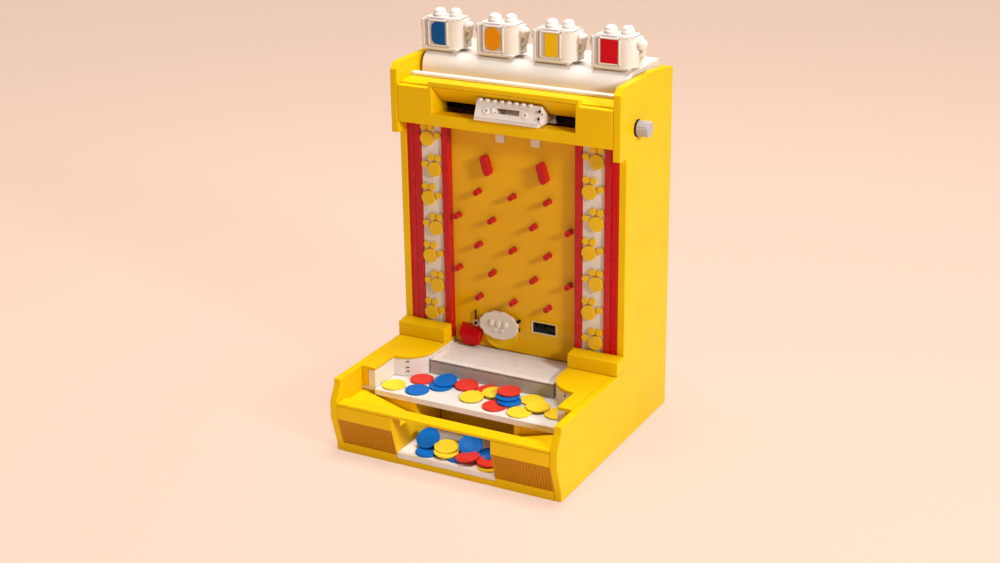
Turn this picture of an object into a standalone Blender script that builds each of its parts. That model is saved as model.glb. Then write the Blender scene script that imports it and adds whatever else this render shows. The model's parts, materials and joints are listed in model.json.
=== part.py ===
"""Tabletop coin pusher machine, built from interlocking plastic bricks.

Metres, +Z up. The front faces -Y, the hand knob is on the +X side, and the
origin is the middle of the footprint on the surface that the machine stands on.
"""

import math

import bmesh
import bpy
from mathutils import Matrix, Vector

MM = 0.001

# --- Driving sizes -------------------------------------------------------------
STUD = 8 * MM            # pitch of the brick system
PLATE = 3.2 * MM         # height of a thin brick
GAP = 0.3 * MM           # assembly gap between two seated pieces
WALL = 8 * MM            # thickness of the brick walls

WIDTH = 256 * MM         # outer width of the cabinet
DEPTH = 256 * MM         # from the foot of the front panel to the back
HEIGHT = 378 * MM        # top of the side panels
BASE_HEIGHT = 80 * MM    # top of the base's side panels and decks

COLUMN_SETBACK = 144 * MM    # front of the upright behind the foot of the front
HEAD_OVERHANG = 16 * MM      # how far the head stands in front of the upright
NOSE = 9 * MM                # how far the front panel leans out over its foot
NOSE_LOW = 40 * MM           # height of the lower edge of the nose
NOSE_HIGH = 57.6 * MM        # height of its upper edge, and of the front bar
NOSE_TOP = 74 * MM           # where the side panel is back over its foot
FOOT_BAND = 9.6 * MM         # upright band below the lean
TOP_CHAMFER = 7 * MM         # bevel on the top front corner of a side panel
BACK_FALL = 6 * MM           # how far the top of a side panel falls to the back
BACK_FALL_LENGTH = 46 * MM

TRAY_HALF = 56 * MM          # half width of the tray and of the coin drop
TRAY_DEPTH = 88 * MM
TRAY_SILL = 6.4 * MM         # top of the base plate
TRAY_FLOOR = 6.4 * MM        # thickness of the tray floor
BAR_DEPTH = 16 * MM

TABLE_TOP = 57.6 * MM        # height that the coins slide at
TABLE_SETBACK = 40 * MM      # front edge of the coin table behind the foot
TRIM_HEIGHT = 6.4 * MM
TRIM_DEPTH = 2.1 * MM
RAMP_FALL = 19 * MM
RAMP_SHOULDER = 6 * MM       # flat at the outer end of a chute ramp

PUSHER_HEIGHT = 15.7 * MM
PUSHER_REACH = 47 * MM       # how far the pusher stands in front of the upright
PUSHER_TRAVEL = 32 * MM
PUSHER_SIDE_GAP = 0.5 * MM

WELL_SIDE = 16 * MM          # width of the deck beside the front of the well
WELL_RADIUS = 32 * MM        # rounded corner where the well narrows
RISER_HEIGHT = 15 * MM
RISER_SLOPE = 1.6 * MM

OUTER_STRIP = 2 * STUD
TILE_STRIP = 3 * STUD
INNER_STRIP = STUD
STRIP_DEPTH = STUD
BOARD_RECESS = 8 * MM        # board face behind the front of the strips
BOARD_BEVEL = 6 * MM         # slope on the board's top edge that turns a coin forward
PEG_RADIUS = 3.1 * MM
PEG_LENGTH = 9.2 * MM
PEG_EDGE = 8 * MM            # outermost peg to the inner strip
PEG_SEAT = 0.35 * MM         # clearance round a peg in the board
PEG_ROWS = 5
FIRST_PEG_DROP = 58.3 * MM   # first peg row below the head's side edge
LAST_PEG_HEIGHT = 131.5 * MM  # lowest peg row, over the prizes

DISC_RADIUS = 7.8 * MM
SMALL_DISC_RADIUS = 3.8 * MM
DISC_HEIGHT = 3.2 * MM
DISC_CLUSTERS = 7
DISC_FOOT = 0.9 * MM         # lowest disc over the riser
FIRST_DISC_DROP = 7.4 * MM
DISC_OFFSET = 4 * MM

WINDOW_THICK = 2 * MM
WINDOW_SETBACK = 11 * MM
WINDOW_INSET = STUD - 2 * MM

HEAD_SIDE_HEIGHT = 73 * MM   # head part of a side panel
FASCIA_DROP = 61 * MM        # lower edge of the fascia below HEIGHT
RECESS_DROP = 49.2 * MM      # floor of the carriage recess below HEIGHT
RECESS_HEIGHT = 28.8 * MM
FASCIA_DEPTH = 17 * MM
FASCIA_END_DEPTH = 31.7 * MM
HEADER_DEPTH = 8 * MM
HEADER_RISE = 5 * MM
HEADER_SIDE = 4 * MM
HEADER_LAP = 2 * MM           # how far the header reaches down into the fascia's ends
SHELF_DROP = 18.9 * MM       # top of the head shelf below HEIGHT
HOOD_REACH = 22 * MM
HOOD_FALL = 19.6 * MM
TOP_TRIM_SETBACK = 28 * MM
ROLL_SETBACK = 44 * MM
ROLL_RADIUS = 16 * MM
ROLL_RISE = 3 * MM           # sign platform above HEIGHT
ROLL_END_GAP = 4 * MM

SHAFT_SETBACK = 40 * MM      # feed screw behind the front of the head
SHAFT_DROP = 48 * MM
SHAFT_RADIUS = 2.4 * MM
SCREW_RADIUS = 3.6 * MM
SCREW_LEAD = 16 * MM
SHAFT_CLEAR = 0.45 * MM   # round the shaft in its bearings and the thread in its nut
KNOB_RADIUS = 8 * MM
KNOB_LENGTH = 13 * MM
KNOB_CLEAR = 1 * MM
KNOB_RIBS = 12
BEARING_DEPTH = 5 * MM

CARRIAGE_WIDTH = 72 * MM
CARRIAGE_X = 6 * MM         # its middle at rest
CARRIAGE_LEAN = 4 * MM
SLOT_WIDTH = 26 * MM
SLOT_HEIGHT = 5.4 * MM
SLOT_FLAT = 3 * MM           # front of the slot's ramp behind the front of the head
CHUTE_SETBACK = 30 * MM      # back of the carriage's chute behind the front of the head

GEAR_MODULE = 2 * MM
PINION_TEETH = 14
PINION_WIDTH = 10 * MM
PRESSURE_ANGLE = 20          # degrees
TOOTH_PLAY = 0.15 * MM       # on each flank of a pinion tooth
RACK_WIDTH = 14 * MM
RACK_BASE = 4 * MM
RACK_OVERRUN = 8 * MM        # rack past the pinion's axis at rest
NOTCH_LENGTH = 12 * MM       # notch in the pusher's tail, round the pinion
DRIVE_SHAFT_RADIUS = 2.4 * MM
DRIVE_CLEAR = 0.9 * MM       # drive over the top of the pusher
BRACKET_X = 24 * MM
BRACKET_THICK = 6 * MM
BRACKET_HALF = 8 * MM
MOTOR_X = 28 * MM
MOTOR_WIDTH = 40 * MM
MOTOR_REACH = 14 * MM        # motor in front of the pinion's axis
MOTOR_HEIGHT = 40 * MM
MOTOR_BORE = 8 * MM

SIGN_COUNT = 4
SIGN_WIDTH = 46 * MM
SIGN_DEPTH = 22 * MM
SIGN_HEIGHT = 30 * MM
SIGN_BALL = 7.5 * MM
SIGN_SIDE_BALL = 6 * MM

# --- Places worked out from them -------------------------------------------------
HALF = WIDTH / 2
INSIDE = HALF - WALL                     # inner face of a side panel
FRONT = -DEPTH / 2
BACK = DEPTH / 2
COLUMN = FRONT + COLUMN_SETBACK
HEAD = COLUMN - HEAD_OVERHANG
HEAD_UNDER = HEIGHT - HEAD_SIDE_HEIGHT
PEG_ROW_PITCH = (HEAD_UNDER - FIRST_PEG_DROP - LAST_PEG_HEIGHT) / (PEG_ROWS - 1)
LAST_DISC_HEIGHT = BASE_HEIGHT + GAP + RISER_HEIGHT + RISER_SLOPE + DISC_FOOT + DISC_RADIUS
DISC_PITCH = (HEAD_UNDER - FIRST_DISC_DROP - LAST_DISC_HEIGHT) / (DISC_CLUSTERS - 1)
FASCIA_LOW = HEIGHT - FASCIA_DROP
RECESS_FLOOR = HEIGHT - RECESS_DROP
RECESS_TOP = RECESS_FLOOR + RECESS_HEIGHT
SHELF_TOP = HEIGHT - SHELF_DROP
SHELF_LOW = SHELF_TOP - PLATE
TABLE_FRONT = FRONT + TABLE_SETBACK
TABLE_LOW = TABLE_TOP - PLATE
BOARD_HALF = INSIDE - OUTER_STRIP - TILE_STRIP - INNER_STRIP
RECESS_HALF = BOARD_HALF + INNER_STRIP   # the fascia's end blocks stop beside the board
BOARD_FACE = COLUMN + BOARD_RECESS
BOARD_BACK = BOARD_FACE + WALL
TILE_OUT = INSIDE - OUTER_STRIP
TILE_IN = TILE_OUT - TILE_STRIP
TILE_FACE = COLUMN + 2 * MM
STRIP_TOP = FASCIA_LOW
SHAFT_Y = HEAD + SHAFT_SETBACK
SHAFT_Z = HEIGHT - SHAFT_DROP
PUSHER_LOW = TABLE_TOP + GAP
PUSHER_TOP = PUSHER_LOW + PUSHER_HEIGHT
PUSHER_FRONT = COLUMN - PUSHER_REACH
BOARD_LOW = PUSHER_TOP + 1 * MM
BOARD_TOP = SHAFT_Z - SCREW_RADIUS - 7 * MM
DECK_LOW = BASE_HEIGHT - PLATE
WELL_HALF = INSIDE - WELL_SIDE
NARROW_HALF = BOARD_HALF
BACK_INNER = BACK - WALL
PINION_RADIUS = GEAR_MODULE * PINION_TEETH / 2
PINION_Y = (BOARD_BACK + BACK_INNER) / 2 - 2 * MM
DEDENDUM = 1.25 * GEAR_MODULE
RACK_ROOT_Z = PUSHER_LOW + RACK_BASE
RACK_PITCH_Z = RACK_ROOT_Z + DEDENDUM
PINION_Z = RACK_PITCH_Z + PINION_RADIUS
RACK_END = PINION_Y + RACK_OVERRUN
PUSHER_TAIL = BOARD_BACK - 2 * MM
DRIVE_LOW = PUSHER_TOP + DRIVE_CLEAR
CARRIAGE_FRONT = HEAD - CARRIAGE_LEAN
SLOT_LOW = RECESS_FLOOR + 9.4 * MM
CHUTE_FRONT = HEAD + FASCIA_DEPTH + 0.4 * MM
CHUTE_BACK = HEAD + CHUTE_SETBACK

# --- Scene, collections and materials --------------------------------------------
for old in list(bpy.data.objects):
    bpy.data.objects.remove(old, do_unlink=True)

parts = bpy.data.collections.new("coin_pusher_machine")
bpy.context.scene.collection.children.link(parts)
cutters = bpy.data.collections.new("cutters")
bpy.context.scene.collection.children.link(cutters)


def plastic(name, colour, roughness=0.35, alpha=1.0):
    """A Principled material for one colour of moulded plastic."""
    made = bpy.data.materials.new(name)
    made.use_nodes = True
    shader = made.node_tree.nodes["Principled BSDF"]
    shader.inputs["Base Color"].default_value = (*colour, 1)
    shader.inputs["Roughness"].default_value = roughness
    shader.inputs["Metallic"].default_value = 0.0
    shader.inputs["Alpha"].default_value = alpha
    return made


YELLOW = plastic("yellow_abs", (0.90, 0.55, 0.01))
RED = plastic("red_abs", (0.60, 0.01, 0.01))
WHITE = plastic("white_abs", (0.87, 0.84, 0.80))
GREY = plastic("light_grey_abs", (0.66, 0.60, 0.55))
MID_GREY = plastic("grey_abs", (0.42, 0.40, 0.39))
BLACK = plastic("black_abs", (0.02, 0.02, 0.02))
DARK = plastic("dark_grey_abs", (0.08, 0.08, 0.09))
CLEAR = plastic("clear_polycarbonate", (0.9, 0.9, 0.9), 0.05, 0.25)


# --- Shape helpers -----------------------------------------------------------------
def place(name, mesh, material=None, smooth=False):
    """Make a node from a mesh, or a cutter when it has no material."""
    made = bpy.data.objects.new(name, mesh)
    if material is None:
        cutters.objects.link(made)
        made.hide_render = True
        made.display_type = "WIRE"
        return made
    parts.objects.link(made)
    mesh.materials.clear()
    mesh.materials.append(material)
    if smooth:
        mesh.shade_smooth()
        mesh.set_sharp_from_angle(angle=math.radians(35))
    return made


def box_mesh(low, high):
    """A box between two corners."""
    size = Vector(high) - Vector(low)
    middle = (Vector(high) + Vector(low)) / 2
    shape = bmesh.new()
    bmesh.ops.create_cube(shape, size=1)
    bmesh.ops.scale(shape, vec=size, verts=shape.verts)
    bmesh.ops.translate(shape, vec=middle, verts=shape.verts)
    mesh = bpy.data.meshes.new("box")
    shape.to_mesh(mesh)
    shape.free()
    return mesh


def box(name, low, high, material=None):
    return place(name, box_mesh(low, high), material)


# A turn that lays an outline drawn in X and Y, and extruded along Z, in each plane.
LAY = {
    "X": Matrix(((0, 0, 1), (1, 0, 0), (0, 1, 0))).to_4x4(),
    "Y": Matrix(((1, 0, 0), (0, 0, -1), (0, 1, 0))).to_4x4(),
    "Z": Matrix.Identity(4),
}


def outline_mesh(points, axis, start, end):
    """Extrude a flat closed outline from start to end along an axis.

    The points are (y, z) for axis X, (x, z) for axis Y and (x, y) for axis Z.
    """
    curve = bpy.data.curves.new("outline", "CURVE")
    curve.dimensions = "2D"
    curve.fill_mode = "BOTH"
    curve.extrude = abs(end - start) / 2
    spline = curve.splines.new("POLY")
    spline.points.add(len(points) - 1)
    for point, (across, up) in zip(spline.points, points):
        point.co = (across, up, 0, 1)
    spline.use_cyclic_u = True
    drawn = bpy.data.objects.new("outline", curve)
    bpy.context.scene.collection.objects.link(drawn)
    bpy.context.view_layer.update()
    graph = bpy.context.evaluated_depsgraph_get()
    mesh = bpy.data.meshes.new_from_object(drawn.evaluated_get(graph))
    bpy.data.objects.remove(drawn, do_unlink=True)
    middle = (start + end) / 2
    shape = bmesh.new()
    shape.from_mesh(mesh)
    bmesh.ops.remove_doubles(shape, verts=shape.verts, dist=1e-6)
    along = -middle if axis == "Y" else middle
    bmesh.ops.translate(shape, vec=(0, 0, along), verts=shape.verts)
    bmesh.ops.transform(shape, matrix=LAY[axis], verts=shape.verts)
    bmesh.ops.recalc_face_normals(shape, faces=shape.faces)
    shape.to_mesh(mesh)
    shape.free()
    return mesh


def outline(name, points, axis, start, end, material=None, smooth=False):
    return place(name, outline_mesh(points, axis, start, end), material, smooth)


def arc(centre, radius, first, last, steps):
    """Points on an arc, from one angle to another in degrees."""
    found = []
    for step in range(steps + 1):
        angle = math.radians(first + (last - first) * step / steps)
        found.append((centre[0] + radius * math.cos(angle), centre[1] + radius * math.sin(angle)))
    return found


TURN = {
    "X": Matrix.Rotation(math.pi / 2, 4, "Y"),
    "Y": Matrix.Rotation(-math.pi / 2, 4, "X"),
    "Z": Matrix.Identity(4),
}


def rod_mesh(radius, axis, start, end, centre, segments=16):
    """A cylinder along an axis; the centre gives its other two coordinates."""
    shape = bmesh.new()
    bmesh.ops.create_cone(
        shape,
        cap_ends=True,
        segments=segments,
        radius1=radius,
        radius2=radius,
        depth=abs(end - start),
    )
    bmesh.ops.transform(shape, matrix=TURN[axis], verts=shape.verts)
    middle = list(centre)
    middle.insert("XYZ".index(axis), (start + end) / 2)
    bmesh.ops.translate(shape, vec=middle, verts=shape.verts)
    mesh = bpy.data.meshes.new("rod")
    shape.to_mesh(mesh)
    shape.free()
    return mesh


def rod(name, radius, axis, start, end, centre, material=None, segments=16):
    return place(name, rod_mesh(radius, axis, start, end, centre, segments), material, True)


def ball_mesh(radius, centre):
    shape = bmesh.new()
    bmesh.ops.create_uvsphere(shape, u_segments=12, v_segments=8, radius=radius)
    bmesh.ops.translate(shape, vec=centre, verts=shape.verts)
    mesh = bpy.data.meshes.new("ball")
    shape.to_mesh(mesh)
    shape.free()
    return mesh


def gather(name, meshes):
    """Several loose solids in one cutter object."""
    shape = bmesh.new()
    for mesh in meshes:
        shape.from_mesh(mesh)
    whole = bpy.data.meshes.new(name)
    shape.to_mesh(whole)
    shape.free()
    return place(name, whole)


def combine(target, tool, operation):
    """Join a tool to a node (UNION) or cut it away (DIFFERENCE)."""
    change = target.modifiers.new(tool.name, "BOOLEAN")
    change.operation = operation
    change.solver = "EXACT"
    change.object = tool
    return target


def cut(target, *tools):
    for tool in tools:
        combine(target, tool, "DIFFERENCE")
    return target


def join(target, *tools):
    for tool in tools:
        combine(target, tool, "UNION")
    return target


def sides():
    """Left (-1) and right (+1), with the ending that their nodes' names take."""
    return ((-1, "left"), (1, "right"))


def span(side, inner, outer):
    """Low and high X of a piece that lies between two distances from the middle."""
    return sorted((side * inner, side * outer))


# --- Cabinet shell --------------------------------------------------------------
# A side panel is a wall of bricks: the base, the upright and the head in one outline.
SIDE_OUTLINE = [
    (FRONT, 0),
    (BACK, 0),
    (BACK, HEIGHT - BACK_FALL),
    (BACK - BACK_FALL_LENGTH, HEIGHT),
    (HEAD + TOP_CHAMFER, HEIGHT),
    (HEAD, HEIGHT - TOP_CHAMFER),
    (HEAD, HEAD_UNDER),
    (COLUMN, HEAD_UNDER),
    (COLUMN, BASE_HEIGHT),
    (FRONT, BASE_HEIGHT),
    (FRONT, NOSE_TOP),
    (FRONT - NOSE, NOSE_HIGH),
    (FRONT - NOSE, NOSE_LOW),
    (FRONT, FOOT_BAND),
]
for side, word in sides():
    low, high = span(side, INSIDE, HALF)
    panel = outline(f"{word}_side_panel", SIDE_OUTLINE, "X", low, high, YELLOW)
    # The shaft runs through the right panel and ends in a blind bearing in the left one.
    if side > 0:
        ends = (INSIDE - WALL, HALF + WALL)
    else:
        ends = (-INSIDE - BEARING_DEPTH, -INSIDE + WALL)
    hole = rod(f"shaft_hole_{word}", SHAFT_RADIUS + SHAFT_CLEAR, "X", *ends, (SHAFT_Y, SHAFT_Z))
    cut(panel, hole)

SEAT = INSIDE - GAP      # pieces between the side panels end here
box("back_panel", (-SEAT, BACK_INNER, 0), (SEAT, BACK, HEIGHT - BACK_FALL), YELLOW)

BASE_BACK = BACK_INNER - GAP
PANEL_BACK = FRONT + WALL
base_outline = [
    (-SEAT, PANEL_BACK + GAP),
    (-TRAY_HALF + GAP, PANEL_BACK + GAP),
    (-TRAY_HALF + GAP, FRONT),
    (TRAY_HALF - GAP, FRONT),
    (TRAY_HALF - GAP, PANEL_BACK + GAP),
    (SEAT, PANEL_BACK + GAP),
    (SEAT, BASE_BACK),
    (-SEAT, BASE_BACK),
]
outline("base_plate", base_outline, "Z", 0, TRAY_SILL - GAP, YELLOW)

# Leaning front panels beside the tray, under one flat bar.
BAR_LOW = NOSE_HIGH - PLATE
front_outline = [
    (FRONT, 0),
    (PANEL_BACK, 0),
    (PANEL_BACK, BAR_LOW - GAP),
    (FRONT - NOSE, BAR_LOW - GAP),
    (FRONT - NOSE, NOSE_LOW),
    (FRONT, FOOT_BAND),
]
for side, word in sides():
    low, high = span(side, TRAY_HALF, SEAT)
    outline(f"front_panel_{word}", front_outline, "X", low, high, YELLOW)
BAR_FRONT = FRONT - NOSE
BAR_BACK = BAR_FRONT + BAR_DEPTH
box("front_bar", (-SEAT, BAR_FRONT, BAR_LOW), (SEAT, BAR_BACK, NOSE_HIGH), YELLOW)

# --- Coin tray and chute ----------------------------------------------------------
TRAY_BACK = FRONT + TRAY_DEPTH
TRAY_TOP = TRAY_SILL + TRAY_FLOOR
box(
    "tray_floor",
    (-TRAY_HALF + GAP, FRONT, TRAY_SILL),
    (TRAY_HALF - GAP, TRAY_BACK - GAP, TRAY_TOP),
    WHITE,
)
RAMP_FRONT = PANEL_BACK + GAP
RAMP_BACK = TABLE_FRONT - TRIM_DEPTH - 2 * GAP
RAMP_TOP = NOSE_HIGH - GAP
RAMP_LOW = RAMP_TOP - RAMP_FALL
RAMP_UNDER = RAMP_LOW - 4 * MM
wall_outline = [
    (PANEL_BACK + GAP, TRAY_SILL),
    (TRAY_BACK, TRAY_SILL),
    (TRAY_BACK, TABLE_LOW - GAP),
    (TABLE_FRONT, TABLE_LOW - GAP),
    (TABLE_FRONT, RAMP_UNDER - GAP),
    (PANEL_BACK + GAP, RAMP_UNDER - GAP),
]
ramp_outline = [
    (TRAY_HALF, RAMP_UNDER),
    (SEAT, RAMP_UNDER),
    (SEAT, BAR_LOW - GAP),
    (INSIDE - RAMP_SHOULDER, BAR_LOW - GAP),
    (TRAY_HALF, RAMP_LOW),
]
for side, word in sides():
    low, high = span(side, TRAY_HALF, TRAY_HALF + WALL)
    outline(f"tray_wall_{word}", wall_outline, "X", low, high, YELLOW)
    mirrored = [(side * across, up) for across, up in ramp_outline]
    outline(f"chute_ramp_{word}", mirrored, "Y", RAMP_FRONT, RAMP_BACK, YELLOW)
    low, high = span(side, TRAY_HALF + WALL + GAP, SEAT)
    box(
        f"table_wall_{word}",
        (low, TABLE_FRONT, TRAY_SILL),
        (high, TABLE_FRONT + WALL, TABLE_LOW - GAP),
        YELLOW,
    )
box(
    "tray_back_wall",
    (-TRAY_HALF + GAP, TRAY_BACK, TRAY_SILL),
    (TRAY_HALF - GAP, TRAY_BACK + WALL, TABLE_LOW - GAP),
    YELLOW,
)

# --- Coin table and well ------------------------------------------------------------
box("coin_table", (-SEAT, TABLE_FRONT, TABLE_LOW), (SEAT, BASE_BACK, TABLE_TOP), GREY)
box(
    "table_trim",
    (-WELL_HALF + GAP, TABLE_FRONT - GAP - TRIM_DEPTH, TABLE_TOP - TRIM_HEIGHT),
    (WELL_HALF - GAP, TABLE_FRONT - GAP, TABLE_TOP),
    WHITE,
)
ROUND_Y = COLUMN - STUD * 4.4
WALL_LOW = TABLE_TOP + GAP
DECK_BACK = BOARD_BACK
deck_edge = arc((WELL_HALF, ROUND_Y), WELL_RADIUS, 270, 180, 8)
inner_edge = arc((WELL_HALF, ROUND_Y), WELL_RADIUS - WALL, 180, 270, 8)
for side, word in sides():
    # Yellow deck: a thin top on an outer wall, with the well's outline cut into it.
    deck_outline = [(SEAT, TABLE_FRONT), (SEAT, DECK_BACK), (NARROW_HALF, DECK_BACK)]
    deck_outline += deck_edge[::-1]
    deck_outline += [(WELL_HALF, TABLE_FRONT)]
    mirrored = [(side * across, along) for across, along in deck_outline]
    deck = outline(f"deck_{word}", mirrored, "Z", DECK_LOW, BASE_HEIGHT, YELLOW)
    low, high = span(side, WELL_HALF + WALL + GAP, SEAT)
    leg = box(f"deck_leg_{word}", (low, TABLE_FRONT, WALL_LOW), (high, DECK_BACK, DECK_LOW + MM))
    join(deck, leg)
    # White lining under the deck's edge, down to the coin table.
    lining = [(WELL_HALF + WALL, TABLE_FRONT), (WELL_HALF + WALL, ROUND_Y - WELL_RADIUS + WALL)]
    lining += inner_edge[::-1]
    lining += [(NARROW_HALF + WALL, DECK_BACK), (NARROW_HALF, DECK_BACK)]
    lining += deck_edge[::-1]
    lining += [(WELL_HALF, TABLE_FRONT)]
    mirrored = [(side * across, along) for across, along in lining]
    outline(f"well_wall_{word}", mirrored, "Z", WALL_LOW, DECK_LOW - GAP, WHITE)
    # Sloped block on the deck at the foot of the upright.
    RISER_LOW = BASE_HEIGHT + GAP
    riser_outline = [
        (HEAD, RISER_LOW),
        (COLUMN - GAP, RISER_LOW),
        (COLUMN - GAP, RISER_LOW + RISER_HEIGHT + RISER_SLOPE),
        (HEAD, RISER_LOW + RISER_HEIGHT),
    ]
    low, high = span(side, NARROW_HALF, HALF)
    outline(f"riser_{word}", riser_outline, "X", low, high, YELLOW)

# --- Playfield ------------------------------------------------------------------------
STRIP_LOW = BASE_HEIGHT + GAP
board = box(
    "peg_board",
    (-BOARD_HALF + GAP, BOARD_FACE, BOARD_LOW),
    (BOARD_HALF - GAP, BOARD_BACK, BOARD_TOP),
    YELLOW,
)
board_slope = [
    (BOARD_FACE - MM, BOARD_TOP - 1.4 * BOARD_BEVEL),
    (BOARD_FACE, BOARD_TOP - 1.4 * BOARD_BEVEL),
    (BOARD_FACE + BOARD_BEVEL, BOARD_TOP),
    (BOARD_FACE + BOARD_BEVEL, BOARD_TOP + MM),
    (BOARD_FACE - MM, BOARD_TOP + MM),
]
cut(board, outline("board_slope", board_slope, "X", -BOARD_HALF - MM, BOARD_HALF + MM))
for side, word in sides():
    low, high = span(side, TILE_OUT + GAP, SEAT)
    box(
        f"outer_red_strip_{word}",
        (low, COLUMN, STRIP_LOW),
        (high, COLUMN + STRIP_DEPTH, STRIP_TOP - GAP),
        RED,
    )
    low, high = span(side, BOARD_HALF, TILE_IN - GAP)
    box(
        f"inner_red_strip_{word}",
        (low, COLUMN, STRIP_LOW),
        (high, BOARD_BACK, STRIP_TOP - GAP),
        RED,
    )
    low, high = span(side, TILE_IN, TILE_OUT)
    tiles = box(
        f"tile_strip_{word}",
        (low, TILE_FACE, STRIP_LOW),
        (high, COLUMN + STRIP_DEPTH, STRIP_TOP - GAP),
        WHITE,
    )
    # Round tiles in clusters that alternate from one edge of the strip to the other.
    discs = []
    centre = side * (TILE_IN + TILE_OUT) / 2
    ends = (TILE_FACE - DISC_HEIGHT, TILE_FACE + MM)
    for cluster in range(DISC_CLUSTERS):
        lean = side * (1 if cluster % 2 == 0 else -1)
        x = centre + lean * DISC_OFFSET
        z = HEAD_UNDER - FIRST_DISC_DROP - cluster * DISC_PITCH
        discs.append(rod_mesh(DISC_RADIUS, "Y", *ends, (x, z), 12))
        for across, up in ((-4, 12), (4, 12), (-lean * 12, 4)):
            spot = (x + across * MM, z + up * MM)
            discs.append(rod_mesh(SMALL_DISC_RADIUS, "Y", *ends, spot, 8))
    join(tiles, gather(f"discs_{word}", discs))

WINDOW_HALF = SEAT - WINDOW_INSET
WINDOW_Y = HEAD + WINDOW_SETBACK
window_drop = RISER_SLOPE * (WINDOW_SETBACK + WINDOW_THICK) / HEAD_OVERHANG
box(
    "window",
    (-WINDOW_HALF, WINDOW_Y, RISER_LOW + RISER_HEIGHT + window_drop + GAP),
    (WINDOW_HALF, WINDOW_Y + WINDOW_THICK, FASCIA_LOW - GAP),
    CLEAR,
)

# Each row of pegs is one piece: pegs on a bar behind the board, through its holes.
PEG_STEP = (BOARD_HALF - PEG_EDGE) / 8
WIDE_ROW = (-8, -3, 3, 8)
NARROW_ROW = (-5, 0, 5)
BAR_THICK = 3 * MM
PEG_BAR_HALF = PEG_RADIUS + 0.7 * MM
for row in range(PEG_ROWS):
    z = HEAD_UNDER - FIRST_PEG_DROP - row * PEG_ROW_PITCH
    places = [PEG_STEP * count for count in (NARROW_ROW if row % 2 == 0 else WIDE_ROW)]
    bar_half = max(places) + PEG_BAR_HALF
    bar_low = BOARD_BACK + GAP
    peg_row = box(
        f"peg_row_{row + 1}",
        (-bar_half, bar_low, z - PEG_BAR_HALF),
        (bar_half, bar_low + BAR_THICK, z + PEG_BAR_HALF),
        RED,
    )
    ends = (BOARD_FACE - PEG_LENGTH, bar_low + MM)
    pegs = [rod_mesh(PEG_RADIUS, "Y", *ends, (x, z), 12) for x in places]
    join(peg_row, gather(f"pegs_{row + 1}", pegs))
    ends = (BOARD_FACE - MM, BOARD_BACK + MM)
    holes = [rod_mesh(PEG_RADIUS + PEG_SEAT, "Y", *ends, (x, z), 12) for x in places]
    cut(board, gather(f"peg_holes_{row + 1}", holes))

# Two tilted bumpers above the pegs, each on a stem through the board.
BUMPER_X = 4 * PEG_STEP
BUMPER_SHIFT = 3 * MM
BUMPER_Z = HEAD_UNDER - 28.1 * MM
BUMPER_RADIUS = 4 * MM
BUMPER_STRAIGHT = 7 * MM
BUMPER_TILT = math.radians(17)
BUMPER_DEPTH = 9 * MM
for side, word in sides():
    x = side * BUMPER_X + BUMPER_SHIFT
    rounded = []
    for centre_up, first in ((BUMPER_STRAIGHT, 0), (-BUMPER_STRAIGHT, 180)):
        for across, up in arc((0, centre_up), BUMPER_RADIUS, first, first + 180, 6):
            turned_x = across * math.cos(BUMPER_TILT) + up * math.sin(-BUMPER_TILT)
            turned_z = -across * math.sin(-BUMPER_TILT) + up * math.cos(BUMPER_TILT)
            rounded.append((x + turned_x, BUMPER_Z + turned_z))
    bumper = outline(
        f"bumper_{word}",
        rounded,
        "Y",
        BOARD_FACE - BUMPER_DEPTH,
        BOARD_FACE - GAP,
        RED,
    )
    ends = (BOARD_FACE - MM, BOARD_BACK)
    join(bumper, rod(f"bumper_stem_{word}", 2.4 * MM, "Y", *ends, (x, BUMPER_Z)))
    ends = (BOARD_FACE - MM, BOARD_BACK + MM)
    cut(board, rod(f"bumper_hole_{word}", 2.4 * MM + PEG_SEAT, "Y", *ends, (x, BUMPER_Z)))

# Two small blocks at the top of the board, clipped on a bar behind it.
GUIDE_X = 2.5 * PEG_STEP
GUIDE_SHIFT = 5.5 * MM
GUIDE_LOW = HEAD_UNDER - 3 * MM
GUIDE_HEIGHT = 8 * MM
GUIDE_HALF = 5 * MM
GUIDE_PROUD = 2 * MM
guide = box(
    "coin_guides",
    (GUIDE_SHIFT - GUIDE_X - GUIDE_HALF, BOARD_BACK + GAP, GUIDE_LOW),
    (GUIDE_SHIFT + GUIDE_X + GUIDE_HALF, BOARD_BACK + GAP + BAR_THICK, GUIDE_LOW + GUIDE_HEIGHT),
    WHITE,
)
blocks = []
notches = []
for side, word in sides():
    low = GUIDE_SHIFT + side * GUIDE_X - GUIDE_HALF
    high = low + 2 * GUIDE_HALF
    near = BOARD_FACE - GUIDE_PROUD
    blocks.append(box_mesh((low, near, GUIDE_LOW), (high, BOARD_BACK + 2 * GAP, GUIDE_LOW + GUIDE_HEIGHT)))
    notches.append(
        box_mesh(
            (low - GAP, BOARD_FACE - MM, GUIDE_LOW - GAP),
            (high + GAP, BOARD_BACK + MM, GUIDE_LOW + GUIDE_HEIGHT + GAP),
        )
    )
join(guide, gather("guide_blocks", blocks))
cut(board, gather("guide_notches", notches))

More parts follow.
